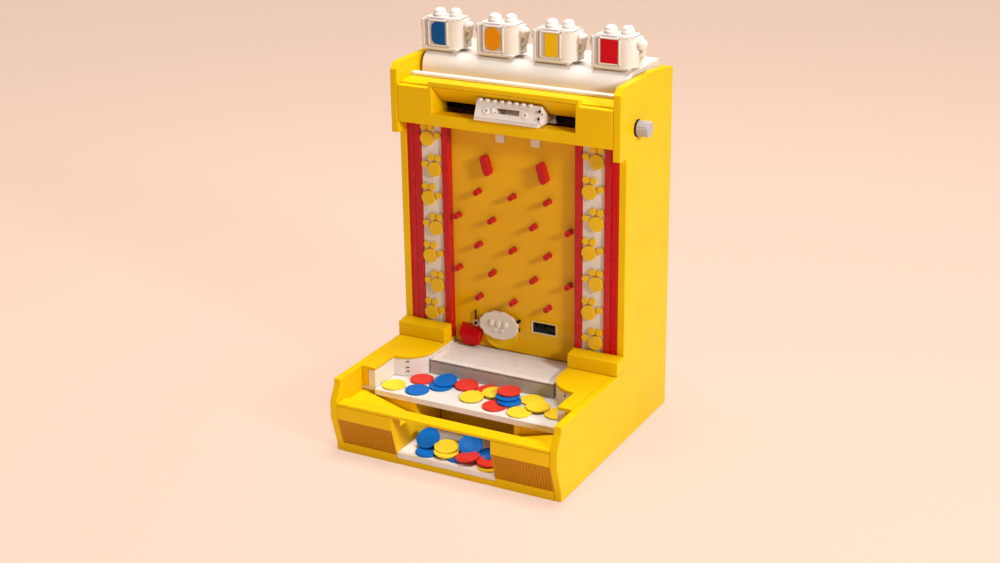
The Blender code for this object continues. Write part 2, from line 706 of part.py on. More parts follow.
# --- Prizes at the foot of the board -----------------------------------------------------
# Yellow disc on the board, with the white scalloped badge on a pin in front of it.
BADGE_X = -16.5 * MM
BADGE_Z = BASE_HEIGHT + 23.5 * MM
DISC_Z = BASE_HEIGHT + 16 * MM
PRIZE_DISC_RADIUS = 20 * MM
PRIZE_PIN = 2.4 * MM
disc = rod(
    "prize_disc",
    PRIZE_DISC_RADIUS,
    "Y",
    BOARD_FACE - GAP - 3 * MM,
    BOARD_FACE - GAP,
    (BADGE_X, DISC_Z),
    YELLOW,
    24,
)
cut(
    disc,
    rod(
        "prize_disc_hole",
        PRIZE_PIN + PEG_SEAT,
        "Y",
        BOARD_FACE - 8 * MM,
        BOARD_FACE + MM,
        (BADGE_X, BADGE_Z),
    ),
)
BADGE_HALF_X = 22.2 * MM
BADGE_HALF_Z = 15.2 * MM
SCALLOPS = 12
badge_outline = []
for step in range(SCALLOPS * 6):
    angle = 2 * math.pi * step / (SCALLOPS * 6)
    swell = 1 + 0.06 * abs(math.sin(angle * SCALLOPS / 2))
    badge_outline.append(
        (
            BADGE_X + BADGE_HALF_X * swell * math.cos(angle),
            BADGE_Z + BADGE_HALF_Z * swell * math.sin(angle),
        )
    )
BADGE_BACK = BOARD_FACE - 2 * GAP - 3 * MM
badge = outline("prize_badge", badge_outline, "Y", BADGE_BACK - 3.2 * MM, BADGE_BACK, WHITE)
join(
    badge,
    rod("badge_pin", PRIZE_PIN, "Y", BADGE_BACK - MM, BOARD_BACK, (BADGE_X, BADGE_Z)),
)
cut(
    board,
    rod(
        "badge_hole",
        PRIZE_PIN + PEG_SEAT,
        "Y",
        BOARD_FACE - MM,
        BOARD_BACK + MM,
        (BADGE_X, BADGE_Z),
    ),
)

# Red wedge on the board, left of the disc: its top slopes forward, and its lower
# corners are cut away.
WEDGE_LOW = BOARD_LOW + 2.4 * MM
WEDGE_FRONT = BOARD_FACE - 9.5 * MM
WEDGE_FACE_HEIGHT = 11 * MM
WEDGE_BACK_HEIGHT = 21 * MM
WEDGE_LEFT = -63 * MM
WEDGE_RIGHT = BADGE_X - PRIZE_DISC_RADIUS - 1.5 * MM
wedge = outline(
    "deflector_wedge",
    [
        (WEDGE_FRONT, WEDGE_LOW),
        (BOARD_FACE - GAP, WEDGE_LOW),
        (BOARD_FACE - GAP, WEDGE_LOW + WEDGE_BACK_HEIGHT),
        (WEDGE_FRONT, WEDGE_LOW + WEDGE_FACE_HEIGHT),
    ],
    "X",
    WEDGE_LEFT,
    WEDGE_RIGHT,
    RED,
)
corners = []
for end, away, reach in ((WEDGE_LEFT, -1, 6 * MM), (WEDGE_RIGHT, 1, 3 * MM)):
    corners.append(
        outline_mesh(
            [
                (end - away * reach, WEDGE_LOW),
                (end - away * reach, WEDGE_LOW - MM),
                (end + away * MM, WEDGE_LOW - MM),
                (end + away * MM, WEDGE_LOW + WEDGE_FACE_HEIGHT),
                (end, WEDGE_LOW + WEDGE_FACE_HEIGHT - MM),
            ],
            "Y",
            WEDGE_FRONT - MM,
            BOARD_FACE + MM,
        )
    )
cut(wedge, gather("wedge_corners", corners))

# Target slot: a thin white frame pressed in an opening of the board.
TARGET_LOW_X = 18.4 * MM
TARGET_HIGH_X = 49.6 * MM
TARGET_Z = BASE_HEIGHT + 27 * MM
TARGET_HALF = 8 * MM
TARGET_PROUD = 0.4 * MM
FRAME_EDGE = 1.6 * MM
frame = box(
    "target_frame",
    (TARGET_LOW_X, BOARD_FACE - TARGET_PROUD, TARGET_Z - TARGET_HALF),
    (TARGET_HIGH_X, BOARD_BACK, TARGET_Z + TARGET_HALF),
    WHITE,
)
cut(
    frame,
    box(
        "target_slot",
        (TARGET_LOW_X + FRAME_EDGE, BOARD_FACE - 4 * MM, TARGET_Z - TARGET_HALF + FRAME_EDGE),
        (TARGET_HIGH_X - FRAME_EDGE, BOARD_BACK + 2 * MM, TARGET_Z + TARGET_HALF - FRAME_EDGE),
    ),
)
cut(
    board,
    box(
        "target_opening",
        (TARGET_LOW_X - GAP, BOARD_FACE - MM, TARGET_Z - TARGET_HALF - GAP),
        (TARGET_HIGH_X + GAP, BOARD_BACK + MM, TARGET_Z + TARGET_HALF + GAP),
    ),
)

# --- Head ------------------------------------------------------------------------------
# Fascia: a bar under the recess, a block at each end and a thin header over it.
SIDE_TOP = SHELF_LOW - GAP
BAR_HALF = RECESS_HALF + HEADER_SIDE
fascia = box(
    "head_fascia",
    (-BAR_HALF, HEAD, FASCIA_LOW),
    (BAR_HALF, HEAD + FASCIA_DEPTH, RECESS_FLOOR),
    YELLOW,
)
for side, word in sides():
    low, high = span(side, RECESS_HALF, SEAT)
    end = box(
        f"fascia_end_{word}",
        (low, HEAD, FASCIA_LOW),
        (high, HEAD + FASCIA_END_DEPTH, SIDE_TOP),
    )
    join(fascia, end)
header = box(
    "fascia_header",
    (-BAR_HALF, HEAD, SIDE_TOP - HEADER_LAP),
    (BAR_HALF, HEAD + HEADER_DEPTH, RECESS_TOP + HEADER_RISE),
)
join(fascia, header)
recess = box(
    "recess_cut",
    (-RECESS_HALF, HEAD - MM, SIDE_TOP - HEADER_LAP - MM),
    (RECESS_HALF, HEAD + HEADER_DEPTH + MM, RECESS_TOP),
)
cut(fascia, recess)

SHELF_FRONT = HEAD + HEADER_DEPTH + GAP
SHELF_BACK = HEAD + ROLL_SETBACK + ROLL_RADIUS
outline(
    "head_shelf",
    [
        (SHELF_FRONT, SHELF_LOW),
        (SHELF_BACK, SHELF_LOW),
        (SHELF_BACK, SHELF_TOP),
        (SHELF_FRONT + 6 * MM, SHELF_TOP),
        (SHELF_FRONT, SHELF_LOW + MM),
    ],
    "X",
    -SEAT,
    SEAT,
    YELLOW,
)
HOOD_HALF = RECESS_HALF - GAP
outline(
    "recess_hood",
    [
        (HEAD + GAP, RECESS_TOP - GAP),
        (HEAD + HOOD_REACH, RECESS_TOP - HOOD_FALL),
        (HEAD + HOOD_REACH + 3 * MM, RECESS_TOP - HOOD_FALL),
        (HEAD + HOOD_REACH + 3 * MM, SHELF_LOW - GAP),
        (HEAD + HEADER_DEPTH, SHELF_LOW - GAP),
    ],
    "X",
    -HOOD_HALF,
    HOOD_HALF,
    YELLOW,
)
box(
    "top_trim",
    (-SEAT, HEAD + TOP_TRIM_SETBACK, SHELF_TOP + GAP),
    (SEAT, HEAD + TOP_TRIM_SETBACK + STUD, SHELF_TOP + GAP + PLATE),
    WHITE,
)
ROLL_TOP = HEIGHT + ROLL_RISE
ROLL_FRONT = HEAD + ROLL_SETBACK
roll_outline = [(BASE_BACK, SHELF_TOP + GAP), (BASE_BACK, ROLL_TOP)]
roll_outline += arc((ROLL_FRONT + ROLL_RADIUS, ROLL_TOP - ROLL_RADIUS), ROLL_RADIUS, 90, 180, 8)
roll_outline += [(ROLL_FRONT, SHELF_TOP + GAP)]
ROLL_HALF = INSIDE - ROLL_END_GAP
outline("sign_platform", roll_outline, "X", -ROLL_HALF, ROLL_HALF, WHITE, True)

# Four sign blocks on the platform: a body with one rounded corner, on a thin foot,
# with a ball at each end and two on top.
SIGN_PITCH = WIDTH / SIGN_COUNT
SIGN_Y = ROLL_FRONT + ROLL_RADIUS + 2 * MM
SIGN_CORNER = 14 * MM
SIGN_LOW = ROLL_TOP + GAP
SIGN_TOP = SIGN_LOW + PLATE + SIGN_HEIGHT
for number in range(SIGN_COUNT):
    x = (number - (SIGN_COUNT - 1) / 2) * SIGN_PITCH
    left = x - SIGN_WIDTH / 2
    right = x + SIGN_WIDTH / 2
    near = SIGN_Y - SIGN_DEPTH / 2
    far = SIGN_Y + SIGN_DEPTH / 2
    body_outline = [(left, near)]
    body_outline += arc((right - SIGN_CORNER, near + SIGN_CORNER), SIGN_CORNER, 270, 360, 6)
    body_outline += [(right, far), (left, far)]
    sign = outline(f"sign_block_{number + 1}", body_outline, "Z", SIGN_LOW + PLATE, SIGN_TOP, WHITE, True)
    foot = box_mesh(
        (left - 2 * MM, near - 2 * MM, SIGN_LOW),
        (right + 2 * MM, far + 2 * MM, SIGN_LOW + PLATE + 0.5 * MM),
    )
    join(sign, place(f"sign_foot_{number + 1}", foot))
    knobs = [
        ball_mesh(SIGN_BALL, (x - 8 * MM, SIGN_Y - 2 * MM, SIGN_TOP + 2.5 * MM)),
        ball_mesh(SIGN_BALL, (x + 12 * MM, SIGN_Y + 2 * MM, SIGN_TOP + 2.5 * MM)),
        ball_mesh(SIGN_SIDE_BALL, (right + 2.5 * MM, SIGN_Y + 2 * MM, SIGN_TOP - 8 * MM)),
        ball_mesh(SIGN_SIDE_BALL, (left - 1 * MM, SIGN_Y + 2 * MM, SIGN_TOP - 8 * MM)),
    ]
    join(sign, gather(f"sign_balls_{number + 1}", knobs))

# --- Coin carriage, feed screw and knob ---------------------------------------------------
# The carriage slides along X in the recess. Its front leans out at the bottom, and a
# coin goes in the slot, slides down a ramp and tips over its end into the playfield.
CARRIAGE_LOW = RECESS_FLOOR + 1.5 * MM
CARRIAGE_TOP = RECESS_FLOOR + 21 * MM
FOLLOWER_RADIUS = SCREW_RADIUS + SHAFT_CLEAR + 2.2 * MM
hood_slope = HOOD_FALL / (HOOD_REACH - GAP)
HOOD_CLEAR = 2 * MM
carriage_outline = [
    (CARRIAGE_FRONT, CARRIAGE_LOW),
    (SHAFT_Y - FOLLOWER_RADIUS, CARRIAGE_LOW),
]
carriage_outline += arc((SHAFT_Y, SHAFT_Z), FOLLOWER_RADIUS, 225, 450, 10)
FOLLOWER_TOP = RECESS_TOP - HOOD_FALL - HOOD_CLEAR
carriage_outline += [
    (SHAFT_Y - FOLLOWER_RADIUS, FOLLOWER_TOP),
    (HEAD + HOOD_REACH - MM, FOLLOWER_TOP),
    (HEAD + 5 * MM, RECESS_TOP - HOOD_CLEAR - 5 * MM * hood_slope - MM),
    (HEAD + CARRIAGE_LEAN, CARRIAGE_TOP),
]
CARRIAGE_HALF = CARRIAGE_WIDTH / 2
carriage = outline(
    "coin_carriage",
    carriage_outline,
    "X",
    CARRIAGE_X - CARRIAGE_HALF,
    CARRIAGE_X + CARRIAGE_HALF,
    WHITE,
)
cut(
    carriage,
    rod(
        "screw_bore",
        SCREW_RADIUS + SHAFT_CLEAR,
        "X",
        CARRIAGE_X - CARRIAGE_HALF - MM,
        CARRIAGE_X + CARRIAGE_HALF + MM,
        (SHAFT_Y, SHAFT_Z),
    ),
    outline(
        "coin_way",
        [
            (CARRIAGE_FRONT - 2 * MM, SLOT_LOW),
            (HEAD + SLOT_FLAT, SLOT_LOW),
            (CHUTE_FRONT, CARRIAGE_LOW + 0.5 * MM),
            (CHUTE_FRONT, CARRIAGE_LOW - 8 * MM),
            (CHUTE_BACK, CARRIAGE_LOW - 8 * MM),
            (CHUTE_BACK, SLOT_LOW + SLOT_HEIGHT),
            (CARRIAGE_FRONT - 2 * MM, SLOT_LOW + SLOT_HEIGHT),
        ],
        "X",
        CARRIAGE_X - SLOT_WIDTH / 2,
        CARRIAGE_X + SLOT_WIDTH / 2,
    ),
)

# Feed screw: a plain shaft with a shallow coarse thread between the side panels.
SHAFT_END = HALF + KNOB_CLEAR + KNOB_LENGTH - 2 * MM
screw = rod(
    "feed_screw",
    SHAFT_RADIUS,
    "X",
    -INSIDE - BEARING_DEPTH + MM,
    SHAFT_END,
    (SHAFT_Y, SHAFT_Z),
    BLACK,
    12,
)
THREAD_HALF = RECESS_HALF - 2 * MM
TURN_STEPS = 12
thread_steps = round(2 * THREAD_HALF / SCREW_LEAD * TURN_STEPS)
THREAD_WIDTH = 2.4 * MM
shape = bmesh.new()
ring_before = None
for step in range(thread_steps + 1):
    along = -THREAD_HALF + step * SCREW_LEAD / TURN_STEPS
    angle = 2 * math.pi * (step + 0.37) / TURN_STEPS
    ring = []
    for radius, offset in (
        (SHAFT_RADIUS * 0.6, -THREAD_WIDTH / 2),
        (SCREW_RADIUS, -THREAD_WIDTH / 2),
        (SCREW_RADIUS, THREAD_WIDTH / 2),
        (SHAFT_RADIUS * 0.6, THREAD_WIDTH / 2),
    ):
        spot = (
            along + offset,
            SHAFT_Y + radius * math.cos(angle),
            SHAFT_Z + radius * math.sin(angle),
        )
        ring.append(shape.verts.new(spot))
    if ring_before:
        for corner in range(4):
            following = (corner + 1) % 4
            shape.faces.new((ring_before[corner], ring_before[following], ring[following], ring[corner]))
    else:
        shape.faces.new(ring)
    ring_before = ring
shape.faces.new(ring_before[::-1])
bmesh.ops.recalc_face_normals(shape, faces=shape.faces)
thread_mesh = bpy.data.meshes.new("thread")
shape.to_mesh(thread_mesh)
shape.free()
join(screw, place("screw_thread", thread_mesh))

# Ribbed knob on the end of the shaft, with a blind bore.
knob_outline = []
for rib in range(KNOB_RIBS * 2):
    angle = math.pi * rib / KNOB_RIBS
    for shift, radius in ((-0.07, KNOB_RADIUS), (0.07, KNOB_RADIUS)):
        reach = radius if rib % 2 == 0 else radius - 0.8 * MM
        knob_outline.append(
            (SHAFT_Y + reach * math.cos(angle + shift), SHAFT_Z + reach * math.sin(angle + shift))
        )
knob = outline(
    "knob",
    knob_outline,
    "X",
    HALF + KNOB_CLEAR,
    HALF + KNOB_CLEAR + KNOB_LENGTH,
    MID_GREY,
)
cut(
    knob,
    rod("knob_bore", SHAFT_RADIUS + GAP, "X", HALF, SHAFT_END + GAP, (SHAFT_Y, SHAFT_Z)),
)

# --- Pusher and its drive -------------------------------------------------------------------
# The pusher slides along Y on the coin table, under the board. A rack at its tail meshes
# with a pinion on a cross shaft, which a geared motor turns to and fro.
PUSHER_HALF = BOARD_HALF - PUSHER_SIDE_GAP
pusher = box(
    "pusher",
    (-PUSHER_HALF, PUSHER_FRONT, PUSHER_LOW),
    (PUSHER_HALF, PUSHER_TAIL, PUSHER_TOP),
    GREY,
)
# Rack teeth are a little shorter than the pinion's, so that they don't foul its roots.
TOOTH_PITCH = math.pi * GEAR_MODULE
FLANK = math.tan(math.radians(PRESSURE_ANGLE))
RACK_ADDENDUM = 0.8 * GEAR_MODULE
RACK_TIP_Z = RACK_PITCH_Z + RACK_ADDENDUM
TOOTH_TIP_HALF = TOOTH_PITCH / 4 - RACK_ADDENDUM * FLANK
TOOTH_ROOT_HALF = TOOTH_PITCH / 4 + DEDENDUM * FLANK
RACK_START = PUSHER_TAIL - 2 * MM
rack_outline = [(RACK_START, PUSHER_LOW), (RACK_END, PUSHER_LOW), (RACK_END, RACK_ROOT_Z)]
# A gap between two teeth lies under the pinion's axis at rest.
tooth_y = PINION_Y + TOOTH_PITCH / 2
while tooth_y - TOOTH_ROOT_HALF > BOARD_BACK:
    rack_outline += [
        (tooth_y + TOOTH_ROOT_HALF, RACK_ROOT_Z),
        (tooth_y + TOOTH_TIP_HALF, RACK_TIP_Z),
        (tooth_y - TOOTH_TIP_HALF, RACK_TIP_Z),
        (tooth_y - TOOTH_ROOT_HALF, RACK_ROOT_Z),
    ]
    tooth_y -= TOOTH_PITCH
rack_outline += [(RACK_START, RACK_ROOT_Z)]
join(pusher, outline("pusher_rack", rack_outline, "X", -RACK_WIDTH / 2, RACK_WIDTH / 2))
# A notch in the pusher's tail, so that it passes under the pinion when it is drawn back.
cut(
    pusher,
    box(
        "pinion_notch",
        (-RACK_WIDTH / 2 - MM, PUSHER_TAIL - NOTCH_LENGTH, RACK_ROOT_Z),
        (RACK_WIDTH / 2 + MM, PUSHER_TAIL + MM, PUSHER_TOP + MM),
    ),
)

# Pinion and cross shaft in one piece. A tooth points straight down at rest.
BASE_RADIUS = PINION_RADIUS * math.cos(math.radians(PRESSURE_ANGLE))
ROOT_RADIUS = PINION_RADIUS - DEDENDUM
TIP_RADIUS = PINION_RADIUS + GEAR_MODULE
FLANK_STEPS = 4


def tooth_half(radius):
    """Half the angle of an involute tooth at a radius; it is radial below the base circle."""
    pressure = math.acos(min(1, BASE_RADIUS / radius))
    at_pitch = FLANK - math.radians(PRESSURE_ANGLE)
    swept = math.tan(pressure) - pressure
    return math.pi / (2 * PINION_TEETH) + at_pitch - swept - TOOTH_PLAY / PINION_RADIUS


rising = [ROOT_RADIUS]
for step in range(FLANK_STEPS + 1):
    rising.append(BASE_RADIUS + (TIP_RADIUS - BASE_RADIUS) * step / FLANK_STEPS)
gear_outline = []
for tooth in range(PINION_TEETH):
    middle = -math.pi / 2 + 2 * math.pi * tooth / PINION_TEETH
    flanks = [(radius, -tooth_half(radius)) for radius in rising]
    flanks += [(radius, tooth_half(radius)) for radius in rising[::-1]]
    for radius, shift in flanks:
        angle = middle + shift
        gear_outline.append((PINION_Y + radius * math.cos(angle), PINION_Z + radius * math.sin(angle)))
pinion = outline(
    "pinion_shaft",
    gear_outline,
    "X",
    -PINION_WIDTH / 2,
    PINION_WIDTH / 2,
    DARK,
)
BRACKET_END = -BRACKET_X - BRACKET_THICK
axle = rod(
    "pinion_axle",
    DRIVE_SHAFT_RADIUS,
    "X",
    BRACKET_END + MM,
    MOTOR_X + MOTOR_BORE - 2 * MM,
    (PINION_Y, PINION_Z),
    None,
    12,
)
join(pinion, axle)
bracket = box(
    "shaft_bracket",
    (BRACKET_END, PINION_Y - BRACKET_HALF, DRIVE_LOW),
    (-BRACKET_X, BASE_BACK, PINION_Z + BRACKET_HALF),
    MID_GREY,
)
cut(
    bracket,
    rod(
        "bracket_bore",
        DRIVE_SHAFT_RADIUS + GAP,
        "X",
        BRACKET_END - MM,
        -BRACKET_X + MM,
        (PINION_Y, PINION_Z),
        None,
        12,
    ),
)
motor = box(
    "drive_box",
    (MOTOR_X, PINION_Y - MOTOR_REACH, DRIVE_LOW),
    (MOTOR_X + MOTOR_WIDTH, BASE_BACK, DRIVE_LOW + MOTOR_HEIGHT),
    DARK,
)
cut(
    motor,
    rod(
        "motor_bore",
        DRIVE_SHAFT_RADIUS + GAP,
        "X",
        MOTOR_X - MM,
        MOTOR_X + MOTOR_BORE,
        (PINION_Y, PINION_Z),
        None,
        12,
    ),
)
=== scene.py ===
"""Looks of a tabletop coin pusher machine that is built from interlocking bricks."""

import json
import math
import random

import bmesh
import bpy
from mathutils import Matrix, Quaternion, Vector


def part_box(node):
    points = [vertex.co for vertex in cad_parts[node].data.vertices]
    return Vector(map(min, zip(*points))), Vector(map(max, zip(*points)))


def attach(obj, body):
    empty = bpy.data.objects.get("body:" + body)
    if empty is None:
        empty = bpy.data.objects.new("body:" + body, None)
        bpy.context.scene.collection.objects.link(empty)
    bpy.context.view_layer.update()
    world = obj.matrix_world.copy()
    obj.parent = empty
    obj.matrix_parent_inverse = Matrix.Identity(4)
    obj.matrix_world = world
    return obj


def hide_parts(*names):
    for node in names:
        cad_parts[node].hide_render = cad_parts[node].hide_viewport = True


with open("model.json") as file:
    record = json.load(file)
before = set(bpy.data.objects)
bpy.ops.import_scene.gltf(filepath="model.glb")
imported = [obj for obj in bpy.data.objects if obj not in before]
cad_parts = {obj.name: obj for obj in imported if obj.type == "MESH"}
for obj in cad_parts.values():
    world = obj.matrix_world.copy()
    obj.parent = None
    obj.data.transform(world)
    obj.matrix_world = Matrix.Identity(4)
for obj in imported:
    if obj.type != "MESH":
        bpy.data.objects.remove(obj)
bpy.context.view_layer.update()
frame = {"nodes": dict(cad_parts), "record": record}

# --- Camera ---------------------------------------------------------------------------
# One long lens, standing to the right of the machine and looking down on it.
# It comes first, as everything else is judged from it.
MM = 0.001
AZIMUTH = math.radians(28.2)
ELEVATION = math.radians(21.02)
ROLL = math.radians(-0.75)
camera = bpy.data.objects.new("camera", bpy.data.cameras.new("camera"))
bpy.context.scene.collection.objects.link(camera)
camera.data.lens = 61.14
camera.data.clip_end = 60
camera.location = (0.76245, -1.43021, 0.78492)
looking = Vector(
    (
        -math.sin(AZIMUTH) * math.cos(ELEVATION),
        math.cos(AZIMUTH) * math.cos(ELEVATION),
        -math.sin(ELEVATION),
    )
)
camera.rotation_mode = "QUATERNION"
camera.rotation_quaternion = looking.to_track_quat("-Z", "Y") @ Quaternion((0, 0, 1), ROLL)
bpy.context.scene.camera = camera
bpy.context.scene.view_settings.view_transform = "Standard"


# --- Floor, backdrop and lamps --------------------------------------------------------
# A plain pale peach sheet of matt paper, a small hard lamp low on the right, a large soft
# one overhead and a weak warm glow all round.
def linear(shade):
    """The linear colour of an sRGB hex value, with full alpha."""
    found = []
    for place in (1, 3, 5):
        value = int(shade[place : place + 2], 16) / 255
        found.append(value / 12.92 if value <= 0.04045 else ((value + 0.055) / 1.055) ** 2.4)
    return (*found, 1)


def add(tree, kind, settings=(), inputs=()):
    """Add a node. Settings are its own choices; inputs are values, or sockets to link from."""
    made = tree.nodes.new(kind)
    for key, value in dict(settings).items():
        setattr(made, key, value)
    for key, value in dict(inputs).items():
        if isinstance(value, bpy.types.NodeSocket):
            tree.links.new(value, made.inputs[key])
        else:
            made.inputs[key].default_value = value
    return made


PAPER = "#FCD9C4"
GLOW_SHARE = 0.72      # how much of the seen shade doesn't depend on the lamps
FLOOR_HALF = 12        # metres, so that no edge of it shows
shape = bmesh.new()
bmesh.ops.create_grid(shape, x_segments=1, y_segments=1, size=FLOOR_HALF)
floor_mesh = bpy.data.meshes.new("floor")
shape.to_mesh(floor_mesh)
shape.free()
floor = bpy.data.objects.new("floor", floor_mesh)
floor.location = (0, 0, -0.3 * MM)
bpy.context.scene.collection.objects.link(floor)
paper = bpy.data.materials.new("matt_paper")
paper.use_nodes = True
tree = paper.node_tree
tree.nodes.clear()
# The camera sees the paper's own shade; what it throws back on the machine is paler.
path = add(tree, "ShaderNodeLightPath")
shade = add(
    tree,
    "ShaderNodeMix",
    {"data_type": "RGBA"},
    {0: path.outputs["Is Camera Ray"], 6: linear("#F6DFCE"), 7: linear(PAPER)},
)
matt = add(tree, "ShaderNodeBsdfDiffuse", inputs={"Color": shade.outputs[2]})
glow = add(tree, "ShaderNodeEmission", inputs={"Color": linear(PAPER), "Strength": 1.0})
share = add(
    tree,
    "ShaderNodeMath",
    {"operation": "MULTIPLY"},
    {0: path.outputs["Is Camera Ray"], 1: GLOW_SHARE},
)
mixed = add(
    tree,
    "ShaderNodeMixShader",
    inputs={0: share.outputs[0], 1: matt.outputs[0], 2: glow.outputs[0]},
)
add(tree, "ShaderNodeOutputMaterial", inputs={"Surface": mixed.outputs[0]})
floor_mesh.materials.append(paper)

world = bpy.data.worlds.new("studio")
bpy.context.scene.world = world
world.use_nodes = True
tree = world.node_tree
tree.nodes.clear()
path = add(tree, "ShaderNodeLightPath")
around = add(tree, "ShaderNodeBackground", inputs={"Color": linear("#FFE2C8"), "Strength": 0.22})
behind = add(tree, "ShaderNodeBackground", inputs={"Color": linear(PAPER), "Strength": 1.0})
mixed = add(
    tree,
    "ShaderNodeMixShader",
    inputs={0: path.outputs["Is Camera Ray"], 1: around.outputs[0], 2: behind.outputs[0]},
)
add(tree, "ShaderNodeOutputWorld", inputs={"Surface": mixed.outputs[0]})

AIM = Vector((0, 0, 0.2))      # the middle of the machine
LAMPS = (
    # Name, place and side in metres, and power in watts.
    ("key_lamp", (2.06, -0.80, 1.22), 0.36, 40),
    ("overhead_lamp", (0.10, 0.20, 2.30), 1.00, 53),
)
for name, spot, side, power in LAMPS:
    lamp = bpy.data.objects.new(name, bpy.data.lights.new(name, "AREA"))
    lamp.data.size = side
    lamp.data.energy = power
    lamp.location = spot
    lamp.rotation_mode = "QUATERNION"
    lamp.rotation_quaternion = (AIM - Vector(spot)).to_track_quat("-Z", "Y")
    bpy.context.scene.collection.objects.link(lamp)

# --- Cabinet shell --------------------------------------------------------------------
# Two side walls and a back of bright yellow ABS bricks, each injection moulded in a
# polished tool: glossy, with hair-fine joints between the bricks and softly rounded edges.
record = frame["record"]
body_of = {node: body for body, nodes in record["behaviour"]["bodies"].items() for node in nodes}
BRICK = 9.6          # height of a brick, in millimetres
STUD = 8             # pitch of its studs
JOINT_HALF = 0.12    # half width of a joint


def moulded_abs(name, shade, joint=(8 * STUD, BRICK), gloss=0.3, dark=0.8, polish=0.08):
    """Glossy ABS: its tint drifts a little, hands leave faint dull smudges, and joints of
    the given length and height in millimetres run between the bricks. A real joint is
    0.05 mm wide; it is drawn 0.24 mm wide, so that it shows. The plain studio would lay
    a pale haze over the bricks, so their reflection is held back."""
    made = bpy.data.materials.new(name)
    made.use_nodes = True
    tree = made.node_tree
    tree.nodes.clear()
    place = add(tree, "ShaderNodeTexCoord").outputs["Object"]
    drift = add(
        tree,
        "ShaderNodeTexNoise",
        inputs={"Vector": place, "Scale": 1 / (45 * MM), "Detail": 2.0},
    )
    tone = add(
        tree,
        "ShaderNodeMapRange",
        inputs={
            "Value": drift.outputs["Fac"],
            "From Min": 0.3,
            "From Max": 0.7,
            "To Min": 0.965,
            "To Max": 1.03,
        },
    )
    tinted = add(
        tree,
        "ShaderNodeHueSaturation",
        inputs={"Color": linear(shade), "Value": tone.outputs[0]},
    )
    # Joints run level and upright on a wall, and along X and Y on a flat top.
    axes = add(tree, "ShaderNodeSeparateXYZ", inputs={0: place})
    along = add(
        tree, "ShaderNodeMath", {"operation": "ADD"}, {0: axes.outputs["X"], 1: axes.outputs["Y"]}
    )
    wall = add(
        tree, "ShaderNodeCombineXYZ", inputs={"X": along.outputs[0], "Y": axes.outputs["Z"]}
    )
    facing = add(
        tree,
        "ShaderNodeSeparateXYZ",
        inputs={0: add(tree, "ShaderNodeNewGeometry").outputs["Normal"]},
    )
    level = add(
        tree, "ShaderNodeMath", {"operation": "ABSOLUTE"}, {0: facing.outputs["Z"]}
    )
    flat = add(
        tree, "ShaderNodeMath", {"operation": "GREATER_THAN"}, {0: level.outputs[0], 1: 0.7}
    )
    laid = add(
        tree,
        "ShaderNodeMix",
        {"data_type": "VECTOR"},
        {0: flat.outputs[0], 4: wall.outputs[0], 5: place},
    )
    bricks = add(
        tree,
        "ShaderNodeTexBrick",
        {"offset": 0.5},
        {
            "Vector": laid.outputs[1],
            "Scale": 1 / MM,
            "Color1": (0.985, 0.985, 0.985, 1),
            "Color2": (1, 1, 1, 1),
            "Mortar": (dark, dark, dark, 1),
            "Mortar Size": JOINT_HALF,
            "Mortar Smooth": 0.2,
            "Brick Width": joint[0],
            "Row Height": joint[1],
        },
    )
    colour = add(
        tree,
        "ShaderNodeMix",
        {"data_type": "RGBA", "blend_type": "MULTIPLY"},
        {0: 1.0, 6: tinted.outputs[0], 7: bricks.outputs["Color"]},
    )
    smudge = add(
        tree,
        "ShaderNodeTexNoise",
        inputs={"Vector": place, "Scale": 1 / (18 * MM), "Detail": 4.0},
    )
    rough = add(
        tree,
        "ShaderNodeMapRange",
        inputs={
            "Value": smudge.outputs["Fac"],
            "From Min": 0.35,
            "From Max": 0.7,
            "To Min": gloss,
            "To Max": gloss + 0.12,
        },
    )
    skin = add(
        tree,
        "ShaderNodeTexNoise",
        inputs={"Vector": place, "Scale": 1 / (2.5 * MM), "Detail": 2.0},
    )
    height = add(
        tree,
        "ShaderNodeMath",
        {"operation": "MULTIPLY_ADD"},
        {0: bricks.outputs["Fac"], 1: -1.0, 2: skin.outputs["Fac"]},
    )
    relief = add(
        tree,
        "ShaderNodeBump",
        inputs={"Strength": 0.12, "Distance": 0.12 * MM, "Height": height.outputs[0]},
    )
    surface = add(
        tree,
        "ShaderNodeBsdfPrincipled",
        inputs={
            "Base Color": colour.outputs[2],
            "Roughness": rough.outputs[0],
            "IOR": 1.54,
            "Specular IOR Level": polish,
            "Normal": relief.outputs[0],
        },
    )
    add(tree, "ShaderNodeOutputMaterial", inputs={"Surface": surface.outputs[0]})
    return made


def piece(name, shape, material, body="cabinet", replaced=(), crease=35):
    """A shown piece from a bmesh, on its body; flat faces stay flat beside rounded edges."""
    mesh = bpy.data.meshes.new(name)
    bmesh.ops.recalc_face_normals(shape, faces=shape.faces)
    shape.to_mesh(mesh)
    shape.free()
    mesh.materials.append(material)
    mesh.shade_smooth()
    mesh.set_sharp_from_angle(angle=math.radians(crease))
    made = bpy.data.objects.new(name, mesh)
    bpy.context.scene.collection.objects.link(made)
    weighted = made.modifiers.new("flat_faces", "WEIGHTED_NORMAL")
    weighted.keep_sharp = True
    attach(made, body)
    if replaced:
        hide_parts(*replaced)
    return made


def rounded(shape, edges, radius, steps=2):
    """Round some edges of a bmesh, in millimetres."""
    bmesh.ops.bevel(
        shape,
        geom=edges,
        offset=radius * MM,
        segments=steps,
        profile=0.5,
        affect="EDGES",
        clamp_overlap=True,
    )


